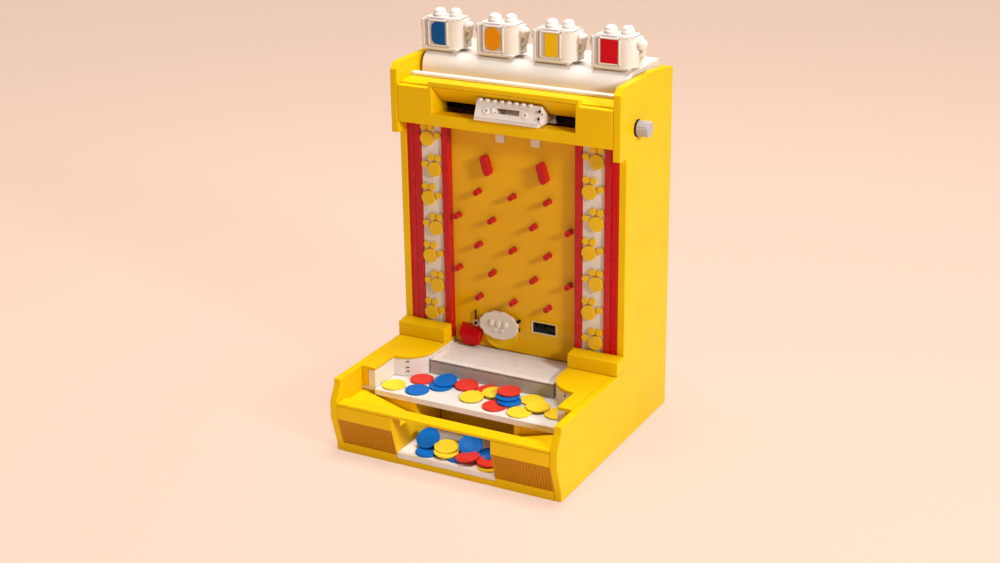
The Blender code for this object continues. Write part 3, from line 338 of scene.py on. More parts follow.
def eased(node, material, radius=0.4):
    """A moulding that stands for a node: the same shape, with the soft edges of its tool."""
    shape = bmesh.new()
    shape.from_mesh(frame["nodes"][node].data)
    bmesh.ops.remove_doubles(shape, verts=shape.verts, dist=1e-6)
    bmesh.ops.dissolve_limit(
        shape, angle_limit=math.radians(1), verts=shape.verts, edges=shape.edges
    )
    sharp = []
    for edge in shape.edges:
        if edge.is_manifold and edge.calc_face_angle(0) > math.radians(40):
            sharp.append(edge)
    rounded(shape, sharp, radius)
    return piece(f"{node}_moulding", shape, material, body_of[node], (node,))


yellow_wall = moulded_abs("yellow_abs_bricks", "#EDBE08")
for node in ("left_side_panel", "right_side_panel", "back_panel"):
    eased(node, yellow_wall, 0.7)

# --- Base and front -------------------------------------------------------------------
# Yellow ABS, pressed together: a thin floor plate, two front panels that lean out and
# carry a band of fine upright ribs (1.6 mm apart on the real one, drawn 3.2 mm apart so
# that they show), and one flat bar across the top of them.
yellow_plain = moulded_abs("yellow_abs_tiles", "#EDBE08", (8 * STUD, 4 * STUD))
eased("base_plate", yellow_wall)
eased("front_bar", yellow_plain, 0.6)
NOSE = 9 * MM              # how far the panel leans out over its foot
NOSE_LOW = 40 * MM         # height of the nose's lower edge
FOOT_BAND = 9.6 * MM       # upright band under the ribs
RIB_PITCH = 3.2 * MM
RIB_DEPTH = 0.7 * MM
RIB_POINTS = 6             # points across a rib
BAND_EDGE = 0.6 * MM       # smooth edge above and below the ribs
# The ribbed band under the nose is drawn a darker brownish yellow: painted shade.
yellow_ribbed_painted_shade = moulded_abs("yellow_abs_ribbed_bricks_painted_shade", "#B97C08", (4 * STUD, 3 * BRICK))
for word in ("left", "right"):
    node = f"front_panel_{word}"
    low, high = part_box(node)
    foot = low.y + NOSE
    lean = Vector((0, foot - low.y, FOOT_BAND - NOSE_LOW)).normalized()
    inward = Vector((0, -lean.z, lean.y))
    band_top = Vector((0, low.y, NOSE_LOW)) + lean * BAND_EDGE
    band_foot = Vector((0, foot, FOOT_BAND)) - lean * BAND_EDGE
    count = int((high.x - low.x) / RIB_PITCH) * RIB_POINTS
    shape = bmesh.new()
    rings = []
    for step in range(count + 1):
        x = low.x + (high.x - low.x) * step / count
        near_end = min(step, count - step) < RIB_POINTS / 2
        turn = math.sin(math.pi * ((step / RIB_POINTS) % 1))
        depth = 0 if near_end else RIB_DEPTH * (1 - turn)
        sink = inward * depth
        section = (
            (foot, low.z),
            (high.y, low.z),
            (high.y, high.z),
            (low.y, high.z),
            (low.y, NOSE_LOW),
            (band_top.y, band_top.z),
            (band_top.y + sink.y, band_top.z + sink.z),
            (band_foot.y + sink.y, band_foot.z + sink.z),
            (band_foot.y, band_foot.z),
            (foot, FOOT_BAND),
        )
        rings.append([shape.verts.new((x, y, z)) for y, z in section])
    for one, two in zip(rings, rings[1:]):
        for corner in range(len(one)):
            following = (corner + 1) % len(one)
            shape.faces.new((one[corner], one[following], two[following], two[corner]))
    shape.faces.new(rings[0])
    shape.faces.new(rings[-1][::-1])
    panel = piece(f"{node}_moulding", shape, yellow_plain, "cabinet", (node,), 30)
    panel.data.materials.append(yellow_ribbed_painted_shade)
    # The faces of the ribbed band take the painted shade.
    for face in panel.data.polygons:
        middle = face.center
        in_band = FOOT_BAND < middle.z < NOSE_LOW and middle.y < foot + MM
        face.material_index = 1 if in_band and abs(face.normal.x) < 0.95 else 0

# --- Coin tray ------------------------------------------------------------------------
# Where won coins land: a floor of white ABS tiles between yellow brick walls, and two
# yellow ramps, pressed on, that slope from the ends of the drop to its middle.
white_tiles = moulded_abs("white_abs_tiles", "#E9E1DA", (4 * STUD, 2 * STUD), dark=0.86)
eased("tray_floor", white_tiles)
for node in ("tray_wall_left", "tray_wall_right", "tray_back_wall"):
    eased(node, yellow_wall)
for word in ("left", "right"):
    eased(f"chute_ramp_{word}", yellow_plain)
    eased(f"table_wall_{word}", yellow_wall)


def turned(shape, profile, centre, axis="Z", steps=32):
    """Turn a profile of (along, radius) in millimetres round an axis through a point."""
    turns = {
        "X": Matrix.Rotation(math.pi / 2, 3, "Y"),
        "Y": Matrix.Rotation(-math.pi / 2, 3, "X"),
        "Z": Matrix.Identity(3),
    }
    turn = axis if isinstance(axis, Matrix) else turns[axis]
    rings = []
    for along, radius in profile:
        if radius == 0:
            spot = Vector(centre) + turn @ Vector((0, 0, along * MM))
            rings.append([shape.verts.new(spot)])
            continue
        ring = []
        for step in range(steps):
            angle = 2 * math.pi * step / steps
            spot = Vector((radius * math.cos(angle), radius * math.sin(angle), along)) * MM
            ring.append(shape.verts.new(Vector(centre) + turn @ spot))
        rings.append(ring)
    for one, two in zip(rings, rings[1:]):
        for step in range(steps):
            following = (step + 1) % steps
            if len(one) == 1:
                shape.faces.new((one[0], two[step], two[following]))
            elif len(two) == 1:
                shape.faces.new((one[step], one[following], two[0]))
            else:
                shape.faces.new((one[step], one[following], two[following], two[step]))
    for ring in (rings[0], rings[-1]):
        if len(ring) > 1:
            shape.faces.new(ring)
    return shape


# A round socket in the wall under the front edge of the table; its dark brown is painted
# shade, as in a hole.
SOCKET_X = 6           # its middle
SOCKET_Z = 34
brown_painted_shade = moulded_abs("brown_socket_painted_shade", "#8A4208", dark=1.0)
socket = turned(
    bmesh.new(),
    [(0, 7.5), (-0.8, 7.5), (-1.2, 7.0), (-1.2, 4.6), (-0.4, 4.2), (-0.4, 0)],
    (SOCKET_X * MM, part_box("tray_back_wall")[0].y, SOCKET_Z * MM),
    "Y",
)
piece("tray_wall_socket", socket, brown_painted_shade)

# --- Coin table and well --------------------------------------------------------------
# The level that coins slide on is a sheet of light grey ABS tiles, with a white strip
# pressed on along its front edge and white linings at its sides. Black blocks in the
# clip slots of the linings are painted shade.
grey_tiles = moulded_abs("light_grey_abs_tiles", "#E2DAD3", (8 * STUD, 2 * STUD), 0.26, 0.88)
white_plain = moulded_abs("white_abs", "#E9E0D8", (8 * STUD, BRICK), dark=0.88)
eased("coin_table", grey_tiles)
eased("table_trim", white_plain)
for word in ("left", "right"):
    eased(f"well_wall_{word}", white_plain, 0.3)


def brick(shape, low, high, radius=0.3, steps=2):
    """Add a block between two corners in millimetres, with its edges rounded."""
    low = Vector(low) * MM
    high = Vector(high) * MM
    made = bmesh.ops.create_cube(shape, size=1)["verts"]
    bmesh.ops.scale(shape, vec=high - low, verts=made)
    bmesh.ops.translate(shape, vec=(low + high) / 2, verts=made)
    edges = {edge for corner in made for edge in corner.link_edges}
    if radius:
        rounded(shape, list(edges), radius, steps)
    return shape


# Black ABS for the feed screw; the same black also fills slots, holes and gaps as painted shade.
black_abs = moulded_abs("black_abs", "#17151A", dark=1.0)
LEVEL_SLOTS = (75, 68.5, 64)       # heights of the level slots in the left lining
LEVEL_HALF = 0.3                   # half their height
UPRIGHT_SLOTS = (93.5, 97.5)       # places along X of the upright ones in the right lining
UPRIGHT_HALF = 0.4                 # half their width
shape = bmesh.new()
for z in LEVEL_SLOTS:
    brick(shape, (-89.4, -49.9, z - LEVEL_HALF), (-86.6, -48.2, z + LEVEL_HALF), 0.1)
for x in UPRIGHT_SLOTS:
    brick(shape, (x - UPRIGHT_HALF, -50.3, 72), (x + UPRIGHT_HALF, -48.4, 75), 0.1)
piece("lining_clip_slots_painted_shade", shape, black_abs)

# --- Decks ----------------------------------------------------------------------------
# Yellow ABS decks frame the well, with a round cut beside the pusher. A sloped block is
# pressed on at the foot of each upright.
for word in ("left", "right"):
    eased(f"deck_{word}", yellow_plain, 0.5)
    eased(f"riser_{word}", yellow_plain, 0.6)

# --- Pusher ---------------------------------------------------------------------------
# A grey ABS slab that slides to and fro on the table. Thin tiles pressed on cover its
# top, and a paler row of them runs along the front and down both sides.
# The slab's front and sides are drawn a darker grey than the tiles on top: painted shade.
grey_side_painted_shade = moulded_abs("light_grey_abs_slab_painted_shade", "#B9AFA8", (8 * STUD, BRICK), 0.3, 0.88)
eased("pusher", grey_side_painted_shade, 0.3)
low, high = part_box("pusher")
TILE = 0.5           # how far the tiles stand over the slab
ROW = 7.9            # width of the paler row
SEAM = 0.1           # left free on each side of a joint between tiles
TAIL_GAP = 9         # the tiles' end in front of the board's back, clear of the pinion
top = high.z / MM
half = high.x / MM - 0.3
front = low.y / MM + 0.2
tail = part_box("peg_board")[1].y / MM - TAIL_GAP
inner_half = half - ROW - SEAM           # half width of the middle tiles
inner_front = front + ROW + 2 * SEAM     # their front edge
shape = brick(
    bmesh.new(), (-inner_half, inner_front, top - 1), (inner_half, tail, top + TILE), 0.2
)
piece("pusher_tiles", shape, grey_tiles, "pusher")
shape = brick(bmesh.new(), (-half, front - 0.2, top - 2.8), (half, front + ROW, top + TILE), 0.3)
for side in (-1, 1):
    ends = sorted((side * (half - ROW), side * half))
    brick(shape, (ends[0], inner_front, top - 1), (ends[1], tail, top + TILE), 0.3)
piece("pusher_edge_tiles", shape, white_tiles, "pusher")

# --- Drive behind the board -----------------------------------------------------------
# Dark grey pinion and shaft that turn in a grey bracket, and a dark grey box that holds
# the geared motor. All are plain ABS mouldings, as nobody sees them.
dark_abs = moulded_abs("dark_grey_abs", "#3A3A3F", (4 * STUD, BRICK), dark=0.7)
grey_abs = moulded_abs("grey_abs", "#8E8A88", (4 * STUD, BRICK))
eased("pinion_shaft", dark_abs, 0.2)
eased("shaft_bracket", grey_abs)
eased("drive_box", dark_abs, 0.8)

# --- Playfield ------------------------------------------------------------------------
# The board that coins fall down: flat yellow ABS panels with holes, through which glossy
# red pegs and two red bumpers stand out, fixed to bars behind it. Two small white blocks
# guide the coin at its top.
yellow_board = moulded_abs("yellow_abs_panel", "#EDB40A", (6 * STUD, 6 * BRICK))
eased("peg_board", yellow_board, 0.3)
red_abs = moulded_abs("red_abs", "#C4060F", (8 * STUD, 2 * BRICK), 0.22, polish=0.14)
PEG = 3.1            # radius of a peg
PEG_BAR = 3          # thickness of the bar behind the board
WIDE_ROW = (-8, -3, 3, 8)      # places of the pegs in a row, in studs
NARROW_ROW = (-5, 0, 5)
for number in range(1, 6):
    node = f"peg_row_{number}"
    low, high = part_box(node)
    spots = WIDE_ROW if number % 2 == 0 else NARROW_ROW
    z = (low.z + high.z) / 2
    bar_low = Vector((low.x, high.y - PEG_BAR * MM, low.z))
    shape = brick(bmesh.new(), bar_low / MM, high / MM, 0.3)
    length = (high.y - low.y) / MM - 1
    profile = [
        (length, PEG),
        (0.5, PEG),
        (0.15, PEG - 0.15),
        (0, PEG - 0.5),
        (0, 1.6),
        (0.7, 1.4),
        (0.7, 0),
    ]
    for spot in spots:
        turned(shape, profile, (spot * STUD * MM, low.y, z), "Y", 24)
    piece(f"{node}_moulding", shape, red_abs, "cabinet", (node,))
for word in ("left", "right"):
    eased(f"bumper_{word}", red_abs, 1.0)
eased("coin_guides", white_plain, 0.4)

# --- Side strips ----------------------------------------------------------------------
# Two columns of red ABS bricks outside, a grooved white strip with round yellow tiles
# pressed on it, and one red column inside.
for word in ("left", "right"):
    node = f"outer_red_strip_{word}"
    low, high = (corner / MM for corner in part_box(node))
    middle = (low.x + high.x) / 2
    shape = brick(bmesh.new(), low, (middle - 0.05, high.y, high.z), 1.0, 3)
    brick(shape, (middle + 0.05, low.y, low.z), high, 1.0, 3)
    piece(f"{node}_columns", shape, red_abs, "cabinet", (node,))
    eased(f"inner_red_strip_{word}", red_abs, 0.9)

STRIP_MIDDLE = 92    # middle of a white strip, from the middle of the machine
STRIP_HALF = 12      # half its width
GROOVE = 2.0         # pitch of the fine grooves in the white strip
DISC = 7.8           # radius of a large round tile
SMALL_DISC = 3.65    # radius of a small one
DISC_TILE = 3.2      # thickness of a round tile
CLUSTERS = 7
CLUSTER_PITCH = 32
FIRST_CLUSTER = 19.1     # first cluster under the strip's top
ASIDE = STUD / 2         # half a stud, the least that a round tile stands to one side
AWAY = 1.5 * STUD        # from a large tile to the small ones round it
PLAIN = (20 * STUD, 20 * STUD)     # joint spacing that leaves a small piece without joints
yellow_disc = moulded_abs("yellow_abs_round_tiles", "#EFC010", PLAIN, 0.24)


def disc_profile(radius, thick, edge=0.35):
    """Profile of a round tile that faces -Y, from its back at 0."""
    return [
        (0, 0),
        (0, radius - 0.2),
        (-0.3, radius),
        (-thick + edge, radius),
        (-thick + edge * 0.3, radius - edge * 0.3),
        (-thick, radius - edge),
        (-thick, 0),
    ]


for side, word in ((-1, "left"), (1, "right")):
    node = f"tile_strip_{word}"
    low, high = (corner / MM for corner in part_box(node))
    face = low.y + DISC_TILE          # face of the white strip, behind the round tiles
    middle = side * STRIP_MIDDLE
    left = middle - STRIP_HALF
    right = middle + STRIP_HALF
    shape = brick(bmesh.new(), (left, face + 0.6, low.z), (right, high.y, high.z), 0.2)
    for count in range(int(2 * STRIP_HALF / GROOVE)):
        x = left + GROOVE * count
        brick(shape, (x + 0.12, face, low.z), (x + GROOVE - 0.12, face + 1.2, high.z), 0.25, 1)
    piece(f"{node}_backing", shape, white_plain, "cabinet", (node,))
    for cluster in range(CLUSTERS):
        lean = side * (1 if cluster % 2 == 0 else -1)
        x = middle + lean * ASIDE
        z = high.z - FIRST_CLUSTER - cluster * CLUSTER_PITCH
        shape = turned(
            bmesh.new(), disc_profile(DISC, DISC_TILE), (x * MM, face * MM, z * MM), "Y", 40
        )
        for across, up in ((-ASIDE, AWAY), (ASIDE, AWAY), (-lean * AWAY, ASIDE)):
            spot = ((x + across) * MM, face * MM, (z + up) * MM)
            turned(shape, disc_profile(SMALL_DISC, DISC_TILE - 0.6), spot, "Y", 24)
        piece(f"round_tiles_{word}_{cluster + 1}", shape, yellow_disc)

# --- Prizes at the foot of the board --------------------------------------------------
# A scalloped white ABS badge with three domed studs stands on a pin in front of a big
# yellow disc. Small black clips hold it at its sides, and a red wedge and a framed slot
# are pressed on beside it.
low, high = (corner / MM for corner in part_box("prize_disc"))
middle = (low + high) / 2
radius = (high.x - low.x) / 2
profile = [
    (high.y - low.y, 0),
    (high.y - low.y, radius),
    (0.5, radius),
    (0.1, radius - 0.4),
    (0.1, radius - 1.6),
    (0.6, radius - 2.0),
    (0.6, 0),
]
shape = turned(bmesh.new(), profile, (middle.x * MM, low.y * MM, middle.z * MM), "Y", 64)
piece("prize_disc_moulding", shape, yellow_disc, "cabinet", ("prize_disc",))

low, high = (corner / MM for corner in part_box("prize_badge"))
middle = (low + high) / 2
half_x = (high.x - low.x) / 2
half_z = (high.z - low.z) / 2
PLATE = 3.2          # thickness of the badge
SCALLOPS = 12
STEPS = 10           # points on each scallop
shape = bmesh.new()
rim = []
for step in range(SCALLOPS * STEPS):
    angle = 2 * math.pi * step / (SCALLOPS * STEPS)
    swell = 0.93 + 0.07 * abs(math.sin(angle * SCALLOPS / 2)) ** 0.7
    rim.append(
        shape.verts.new(
            (
                (middle.x + half_x * swell * math.cos(angle)) * MM,
                low.y * MM,
                (middle.z + half_z * swell * math.sin(angle)) * MM,
            )
        )
    )
face = shape.faces.new(rim)
solid = bmesh.ops.extrude_face_region(shape, geom=[face])["geom"]
moved = [item for item in solid if isinstance(item, bmesh.types.BMVert)]
bmesh.ops.translate(shape, vec=(0, PLATE * MM, 0), verts=moved)
rims = []
for edge in shape.edges:
    if all(abs(corner.co.y - low.y * MM) < 1e-6 for corner in edge.verts):
        rims.append(edge)
rounded(shape, rims, 0.7)
dome = [(2, 3.9), (-0.6, 3.9), (-1.4, 3.3), (-2.0, 2.2), (-2.2, 0)]
for across in (-STUD, 0, STUD):
    turned(shape, dome, ((middle.x + across) * MM, low.y * MM, (middle.z + 2) * MM), "Y", 24)
low_dome = [(2, 2.4), (-0.5, 2.4), (-0.9, 1.8), (-1.0, 0)]
for across, up in ((-4, -5), (4, -5)):
    spot = ((middle.x + across) * MM, low.y * MM, (middle.z + up) * MM)
    turned(shape, low_dome, spot, "Y", 20)
pin = [(0, 2.4), (high.y - low.y - PLATE + 1, 2.4)]
turned(shape, pin, (middle.x * MM, (low.y + PLATE - 1) * MM, middle.z * MM), "Y", 20)
piece("prize_badge_moulding", shape, white_plain, "cabinet", ("prize_badge",), 40)

# Black clips beside the badge, a black hook over the left one and a white ring round it.
shape = bmesh.new()
clip = [(5, 1.7), (0.3, 1.7), (0, 1.4), (0, 0.8), (0.8, 0.7), (0.8, 0)]
board_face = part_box("peg_board")[0].y / MM
for across, up in ((-half_x - 5.5, -3), (half_x - 1.1, 7), (half_x - 2.1, -3.3)):
    spot = ((middle.x + across) * MM, (board_face - 4.5) * MM, (middle.z + up) * MM)
    turned(shape, clip, spot, "Y", 20)
hook_x = middle.x - half_x - 6.5
brick(
    shape,
    (hook_x - 0.4, board_face - 3, middle.z - 2),
    (hook_x + 0.4, board_face - 0.2, middle.z + 11),
    0.15,
)
piece("badge_clips", shape, black_abs)
shape = bmesh.new()
ring = [(3.2, 3.6), (0.4, 3.6), (0, 3.2), (0, 2.4), (3.2, 2.2)]
spot = ((middle.x - half_x - 5.5) * MM, (board_face - 3.6) * MM, (middle.z - 3) * MM)
turned(shape, ring, spot, "Y", 28)
piece("badge_clip_ring", shape, white_plain)
eased("deflector_wedge", red_abs, 0.6)
eased("target_frame", yellow_plain, 0.3)
# A thin white lip runs round the mouth of the slot, and black plates behind it are painted
# shade inside the slot.
FRAME_EDGE = 1.65      # width of the frame round the slot
LIP = 0.6
LIP_DEPTH = 1.2
low, high = (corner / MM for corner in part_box("target_frame"))
inner_low = low + Vector((FRAME_EDGE, 0, FRAME_EDGE))
inner_high = high - Vector((FRAME_EDGE, 0, FRAME_EDGE))
for name, material, near, far in (
    ("target_lip", white_plain, low.y - 0.1, low.y + LIP_DEPTH),
    ("target_slot_painted_shade", black_abs, low.y + LIP_DEPTH + 0.1, high.y - 0.5),
):
    shape = bmesh.new()
    for x in (inner_low.x, inner_high.x - LIP):
        brick(shape, (x, near, inner_low.z), (x + LIP, far, inner_high.z), 0.1)
    for z in (inner_low.z, inner_high.z - LIP):
        brick(shape, (inner_low.x, near, z), (inner_high.x, far, z + LIP), 0.1)
    piece(name, shape, material)

# --- Window ---------------------------------------------------------------------------
# A clear polycarbonate sheet, cut from flat stock: it is seen by its reflections, which
# grow towards a glancing view, and by its edges.
clear_sheet = bpy.data.materials.new("clear_polycarbonate")
clear_sheet.use_nodes = True
tree = clear_sheet.node_tree
tree.nodes.clear()
place = add(tree, "ShaderNodeTexCoord").outputs["Object"]
film = add(
    tree,
    "ShaderNodeTexNoise",
    inputs={"Vector": place, "Scale": 1 / (30 * MM), "Detail": 3.0},
)
dull = add(
    tree,
    "ShaderNodeMapRange",
    inputs={"Value": film.outputs["Fac"], "To Min": 0.02, "To Max": 0.07},
)
through = add(tree, "ShaderNodeBsdfTransparent", inputs={"Color": (0.985, 0.985, 0.98, 1)})
mirror = add(
    tree,
    "ShaderNodeBsdfPrincipled",
    inputs={"Base Color": (1, 1, 1, 1), "Metallic": 1.0, "Roughness": dull.outputs[0]},
)
# Only the faces that are met from outside reflect, as light goes through unbent. The
# sheet is thin and clean, so they reflect less than its own index of 1.58 would give.
glance = add(tree, "ShaderNodeFresnel", inputs={"IOR": 1.22})
inside = add(tree, "ShaderNodeNewGeometry").outputs["Backfacing"]
outside = add(tree, "ShaderNodeMath", {"operation": "SUBTRACT"}, {0: 1.0, 1: inside})
share = add(
    tree, "ShaderNodeMath", {"operation": "MULTIPLY"}, {0: glance.outputs[0], 1: outside.outputs[0]}
)
mixed = add(
    tree,
    "ShaderNodeMixShader",
    inputs={0: share.outputs[0], 1: through.outputs[0], 2: mirror.outputs[0]},
)
add(tree, "ShaderNodeOutputMaterial", inputs={"Surface": mixed.outputs[0]})
window = frame["nodes"]["window"]
window.data.materials.clear()
window.data.materials.append(clear_sheet)

# --- Head -----------------------------------------------------------------------------
# All ABS, pressed together: the yellow fascia with the recess that the carriage runs in,
# a sloped hood over it, a shelf, a white trim and the white rounded platform for the signs.
eased("head_fascia", yellow_plain, 0.7)
eased("head_shelf", yellow_plain, 0.6)
eased("recess_hood", yellow_plain, 0.5)
eased("top_trim", white_plain, 0.6)
eased("sign_platform", white_plain, 0.8)

# --- Feed screw and knob --------------------------------------------------------------
# A black ABS shaft with a coarse thread crosses the head. A ribbed grey knob is pushed on
# its right end, turns it and so moves the carriage. A black disc under the knob is painted
# shade, for the dark gap at its foot.
eased("feed_screw", black_abs, 0.15)
low, high = (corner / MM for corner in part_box("knob"))
middle = (low + high) / 2
RIBS = 22
KNOB = 8.0           # its radius
GRIP = 0.55          # depth of the grooves between its ribs
shape = bmesh.new()
rings = []
# Place of each ring along the knob, and its share of the full radius.
sections = ((0, 0.86), (0.5, 0.96), (1.2, 1), (11.4, 1), (12.5, 0.96), (13, 0.86))
for along, share in sections:
    ring = []
    for step in range(RIBS * 4):
        angle = 2 * math.pi * step / (RIBS * 4)
        radius = (KNOB if step % 4 < 2 else KNOB - GRIP) * share
        ring.append(
            shape.verts.new(
                (
                    (low.x + along) * MM,
                    (middle.y + radius * math.cos(angle)) * MM,
                    (middle.z + radius * math.sin(angle)) * MM,
                )
            )
        )
    rings.append(ring)
for one, two in zip(rings, rings[1:]):
    for step in range(len(one)):
        following = (step + 1) % len(one)
        shape.faces.new((one[step], one[following], two[following], two[step]))
shape.faces.new(rings[0])
shape.faces.new(rings[-1])
knob_grey = moulded_abs("grey_abs_knob", "#B4AEB4", PLAIN, 0.34)
piece("knob_moulding", shape, knob_grey, "feed", ("knob",), 25)
gap_shade_profile = [(0.1, 8.8), (0.75, 8.8), (0.75, 2.9)]
panel_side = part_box("right_side_panel")[1].x / MM
shape = turned(
    bmesh.new(), [(0.1, 2.9), *gap_shade_profile], (panel_side * MM, middle.y * MM, middle.z * MM), "X", 32
)
piece("knob_gap_painted_shade", shape, black_abs, "feed")

# --- Coin carriage --------------------------------------------------------------------
# A white ABS block that slides in the recess. Its face leans back, eight studs stand
# along its top edge, and the coin slot lies between two round bosses pressed on the face.
eased("coin_carriage", white_plain, 0.5)
low, high = (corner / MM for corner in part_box("coin_carriage"))
FACE_LOW = Vector((0, low.y, 330.3))              # foot of the leaning face
FACE_UP = Vector((0, 8, 19.5)).normalized()       # it leans back 8 mm over 19.5 mm
FACE_OUT = Vector((0, -FACE_UP.z, FACE_UP.y))
face_turn = Matrix((Vector((1, 0, 0)), FACE_UP, FACE_OUT)).transposed()
centre_x = (low.x + high.x) / 2
STUDS = 8
STUD_Y = 3.9                 # the row of studs
STUD_FOOT = 19.2             # height of their foot over the face's
BOSSES = (-23.5, 19.5)       # round bosses, from the middle of the face
BOSS_UP = 10.6               # and up it
CROSS = (0.5, 2.2)           # width and length of the cross in a boss
BARS = 35                    # bars of the grille along the foot of the face
FIRST_BAR = -34.6
BAR_PITCH = 2
BAR = 1.2                    # width of a bar


def on_face(across, up, out=0):
    """A point on the carriage's leaning face, in metres."""
    return (FACE_LOW + Vector((centre_x + across, 0, 0)) + FACE_UP * up + FACE_OUT * out) * MM


def face_block(shape, across, up, out, radius=0.2):
    """Add a block on the leaning face, from spans across it, up it and out of it."""
    made = bmesh.new()
    brick(made, (across[0], up[0], out[0]), (across[1], up[1], out[1]), radius)
    for corner in made.verts:
        x, y, z = corner.co / MM
        corner.co = on_face(x, y, z)
    mesh = bpy.data.meshes.new("face_block")
    made.to_mesh(mesh)
    made.free()
    shape.from_mesh(mesh)
    bpy.data.meshes.remove(mesh)
    return shape


shape = bmesh.new()
stud = [(0, 2.4), (1.35, 2.4), (1.6, 2.15), (1.6, 0)]
for count in range(STUDS):
    x = low.x + STUD / 2 + STUD * count
    spot = Vector((x, STUD_Y, FACE_LOW.z + STUD_FOOT)) * MM
    turned(shape, stud, spot, "Z", 24)
boss = [(0, 0), (0, 3.3), (0.7, 3.3), (0.95, 3.05), (0.95, 1.3), (0.3, 1.2), (0.3, 0)]
for across in BOSSES:
    turned(shape, boss, on_face(across, BOSS_UP), face_turn, 28)
# A catch beside the left boss, a thin ridge under the top edge and one over the grille.
for across, up, out, radius in (
    ((-17.5, -14.6), (9.6, 14.2), (-0.2, 1.3), 0.6),
    ((-16, 24), (16.2, 16.9), (-0.2, 0.5), 0.15),
    ((-35.6, 35.6), (3.6, 4.3), (-0.2, 0.5), 0.15),
):
    face_block(shape, across, up, out, radius)
end_pin = [(0, 2.9), (2.4, 2.9), (3.0, 2.5), (3.2, 1.8), (3.2, 0)]
turned(shape, end_pin, (high.x * MM, (low.y + 4.5) * MM, (FACE_LOW.z + 5) * MM), "X", 28)
piece("carriage_details", shape, white_plain, "carriage")
shape = bmesh.new()
for count in range(BARS):
    across = FIRST_BAR + BAR_PITCH * count
    face_block(shape, (across, across + BAR), (0.5, 3.3), (-0.3, 0.35), 0.12)
grille = moulded_abs("white_abs_grille", "#D9C9B8", PLAIN)
piece("carriage_grille", shape, grille, "carriage")
# Black fill in the holes in the right end and in the crosses of the bosses is painted
# shade; a dark dot sits on the face.
shape = bmesh.new()
for along, up in ((5, 15.4), (8.6, 11.8), (2.4, 8.6)):
    spot = ((high.x - 1.2) * MM, (low.y + along) * MM, (FACE_LOW.z + up) * MM)
    turned(shape, [(0, 0), (0, 1.5), (1.25, 1.5), (1.25, 0)], spot, "X", 20)
face_block(shape, (-13.5, -12.6), (9.4, 10.6), (-0.2, 0.15), 0.1)
for across in BOSSES:
    for wide, tall in (CROSS, CROSS[::-1]):
        span = (across - wide / 2, across + wide / 2)
        rise = (BOSS_UP - tall / 2, BOSS_UP + tall / 2)
        face_block(shape, span, rise, (0.2, 0.5), 0.1)
piece("carriage_holes", shape, black_abs, "carriage")

# --- Signs on the head ----------------------------------------------------------------
# Four white ABS blocks on thin feet, pressed on the platform. Each has a framed plain
# colour tile in front, a rounded right corner, a rim, two whipped domes on top, a looped
# handle and a small spout.
tile_shades = {
    "blue": "#12559E",
    "orange": "#E8930C",
    "yellow": "#EDBE14",
    "red": "#CF0F1E",
}
# Each tile's left and right edge, from the middle of its block, and the radius of its
# left and of its right corners.
tiles = (
    ("blue", -11.4, 4.4, 7.0, 0.8),
    ("orange", -13.2, 4.4, 8.4, 8.4),
    ("yellow", -9.8, 4.2, 0.8, 0.8),
    ("red", -13.0, 5.4, 0.8, 0.8),
)
SIGN_PITCH = 64        # from one block to the next
BODY_HALF = 23         # half width of a body
BODY_CORNER = 14       # radius of its front right corner
BODY_LOW = 3.0         # this and the next five are heights over the foot
TILE_LOW = 6.6
TILE_HIGH = 30.8
RIM_LOW = 31.6
RIM_HIGH = 34.8
TOP = 43.1             # top of a whipped dome
SWIRLS = 3             # grooves round a dome
SWIRL = 0.035          # depth of a groove, as a share of the radius
FRAME_LEFT = -15.4     # outer edges of the tile's frame
FRAME_RIGHT = 7.8
FRAME_BAR = 1.4        # width of the frame
FRAME_POST = 1.6       # width of its right side
TUBE = 2.2             # radius of the handle's tube
# Pale grey pieces are painted shade in the signs' recesses and under their rims.
grey_painted_shade = moulded_abs("pale_grey_painted_shade", "#C9C0C6", PLAIN)


def slab(shape, outline, near, far, radius=0.3):
    """Add a plate that faces -Y, from an outline of (x, z) in millimetres."""
    rim = [shape.verts.new((x * MM, near * MM, z * MM)) for x, z in outline]
    face = shape.faces.new(rim)
    made = bmesh.ops.extrude_face_region(shape, geom=[face])["geom"]
    moved = [item for item in made if isinstance(item, bmesh.types.BMVert)]
    bmesh.ops.translate(shape, vec=(0, (far - near) * MM, 0), verts=moved)
    rounded(shape, list(face.edges), radius)
    return shape


def round_box(low_x, high_x, low_z, high_z, left, right):
    """Outline of a plate whose left and right corners have their own radii."""
    found = []
    for x, z, first, radius in (
        (high_x, high_z, 0, right),
        (low_x, high_z, 90, left),
        (low_x, low_z, 180, left),
        (high_x, low_z, 270, right),
    ):
        centre_x = x - radius if x == high_x else x + radius
        centre_z = z - radius if z == high_z else z + radius
        for step in range(7):
            angle = math.radians(first + 15 * step)
            found.append((centre_x + radius * math.cos(angle), centre_z + radius * math.sin(angle)))
    return found


def tube(shape, points, radii, steps=12):
    """Add a closed tube along points, in millimetres, with a radius at each."""
    rings = []
    for index, point in enumerate(points):
        before = Vector(points[max(index - 1, 0)])
        after = Vector(points[min(index + 1, len(points) - 1)])
        turn = (after - before).to_track_quat("Z", "Y")
        ring = []
        for step in range(steps):
            angle = 2 * math.pi * step / steps
            spot = Vector((math.cos(angle), math.sin(angle), 0)) * radii[index]
            ring.append(shape.verts.new((Vector(point) + turn @ spot) * MM))
        rings.append(ring)
    for one, two in zip(rings, rings[1:]):
        for step in range(steps):
            following = (step + 1) % steps
            shape.faces.new((one[step], one[following], two[following], two[step]))
    shape.faces.new(rings[0])
    shape.faces.new(rings[-1])
    return shape


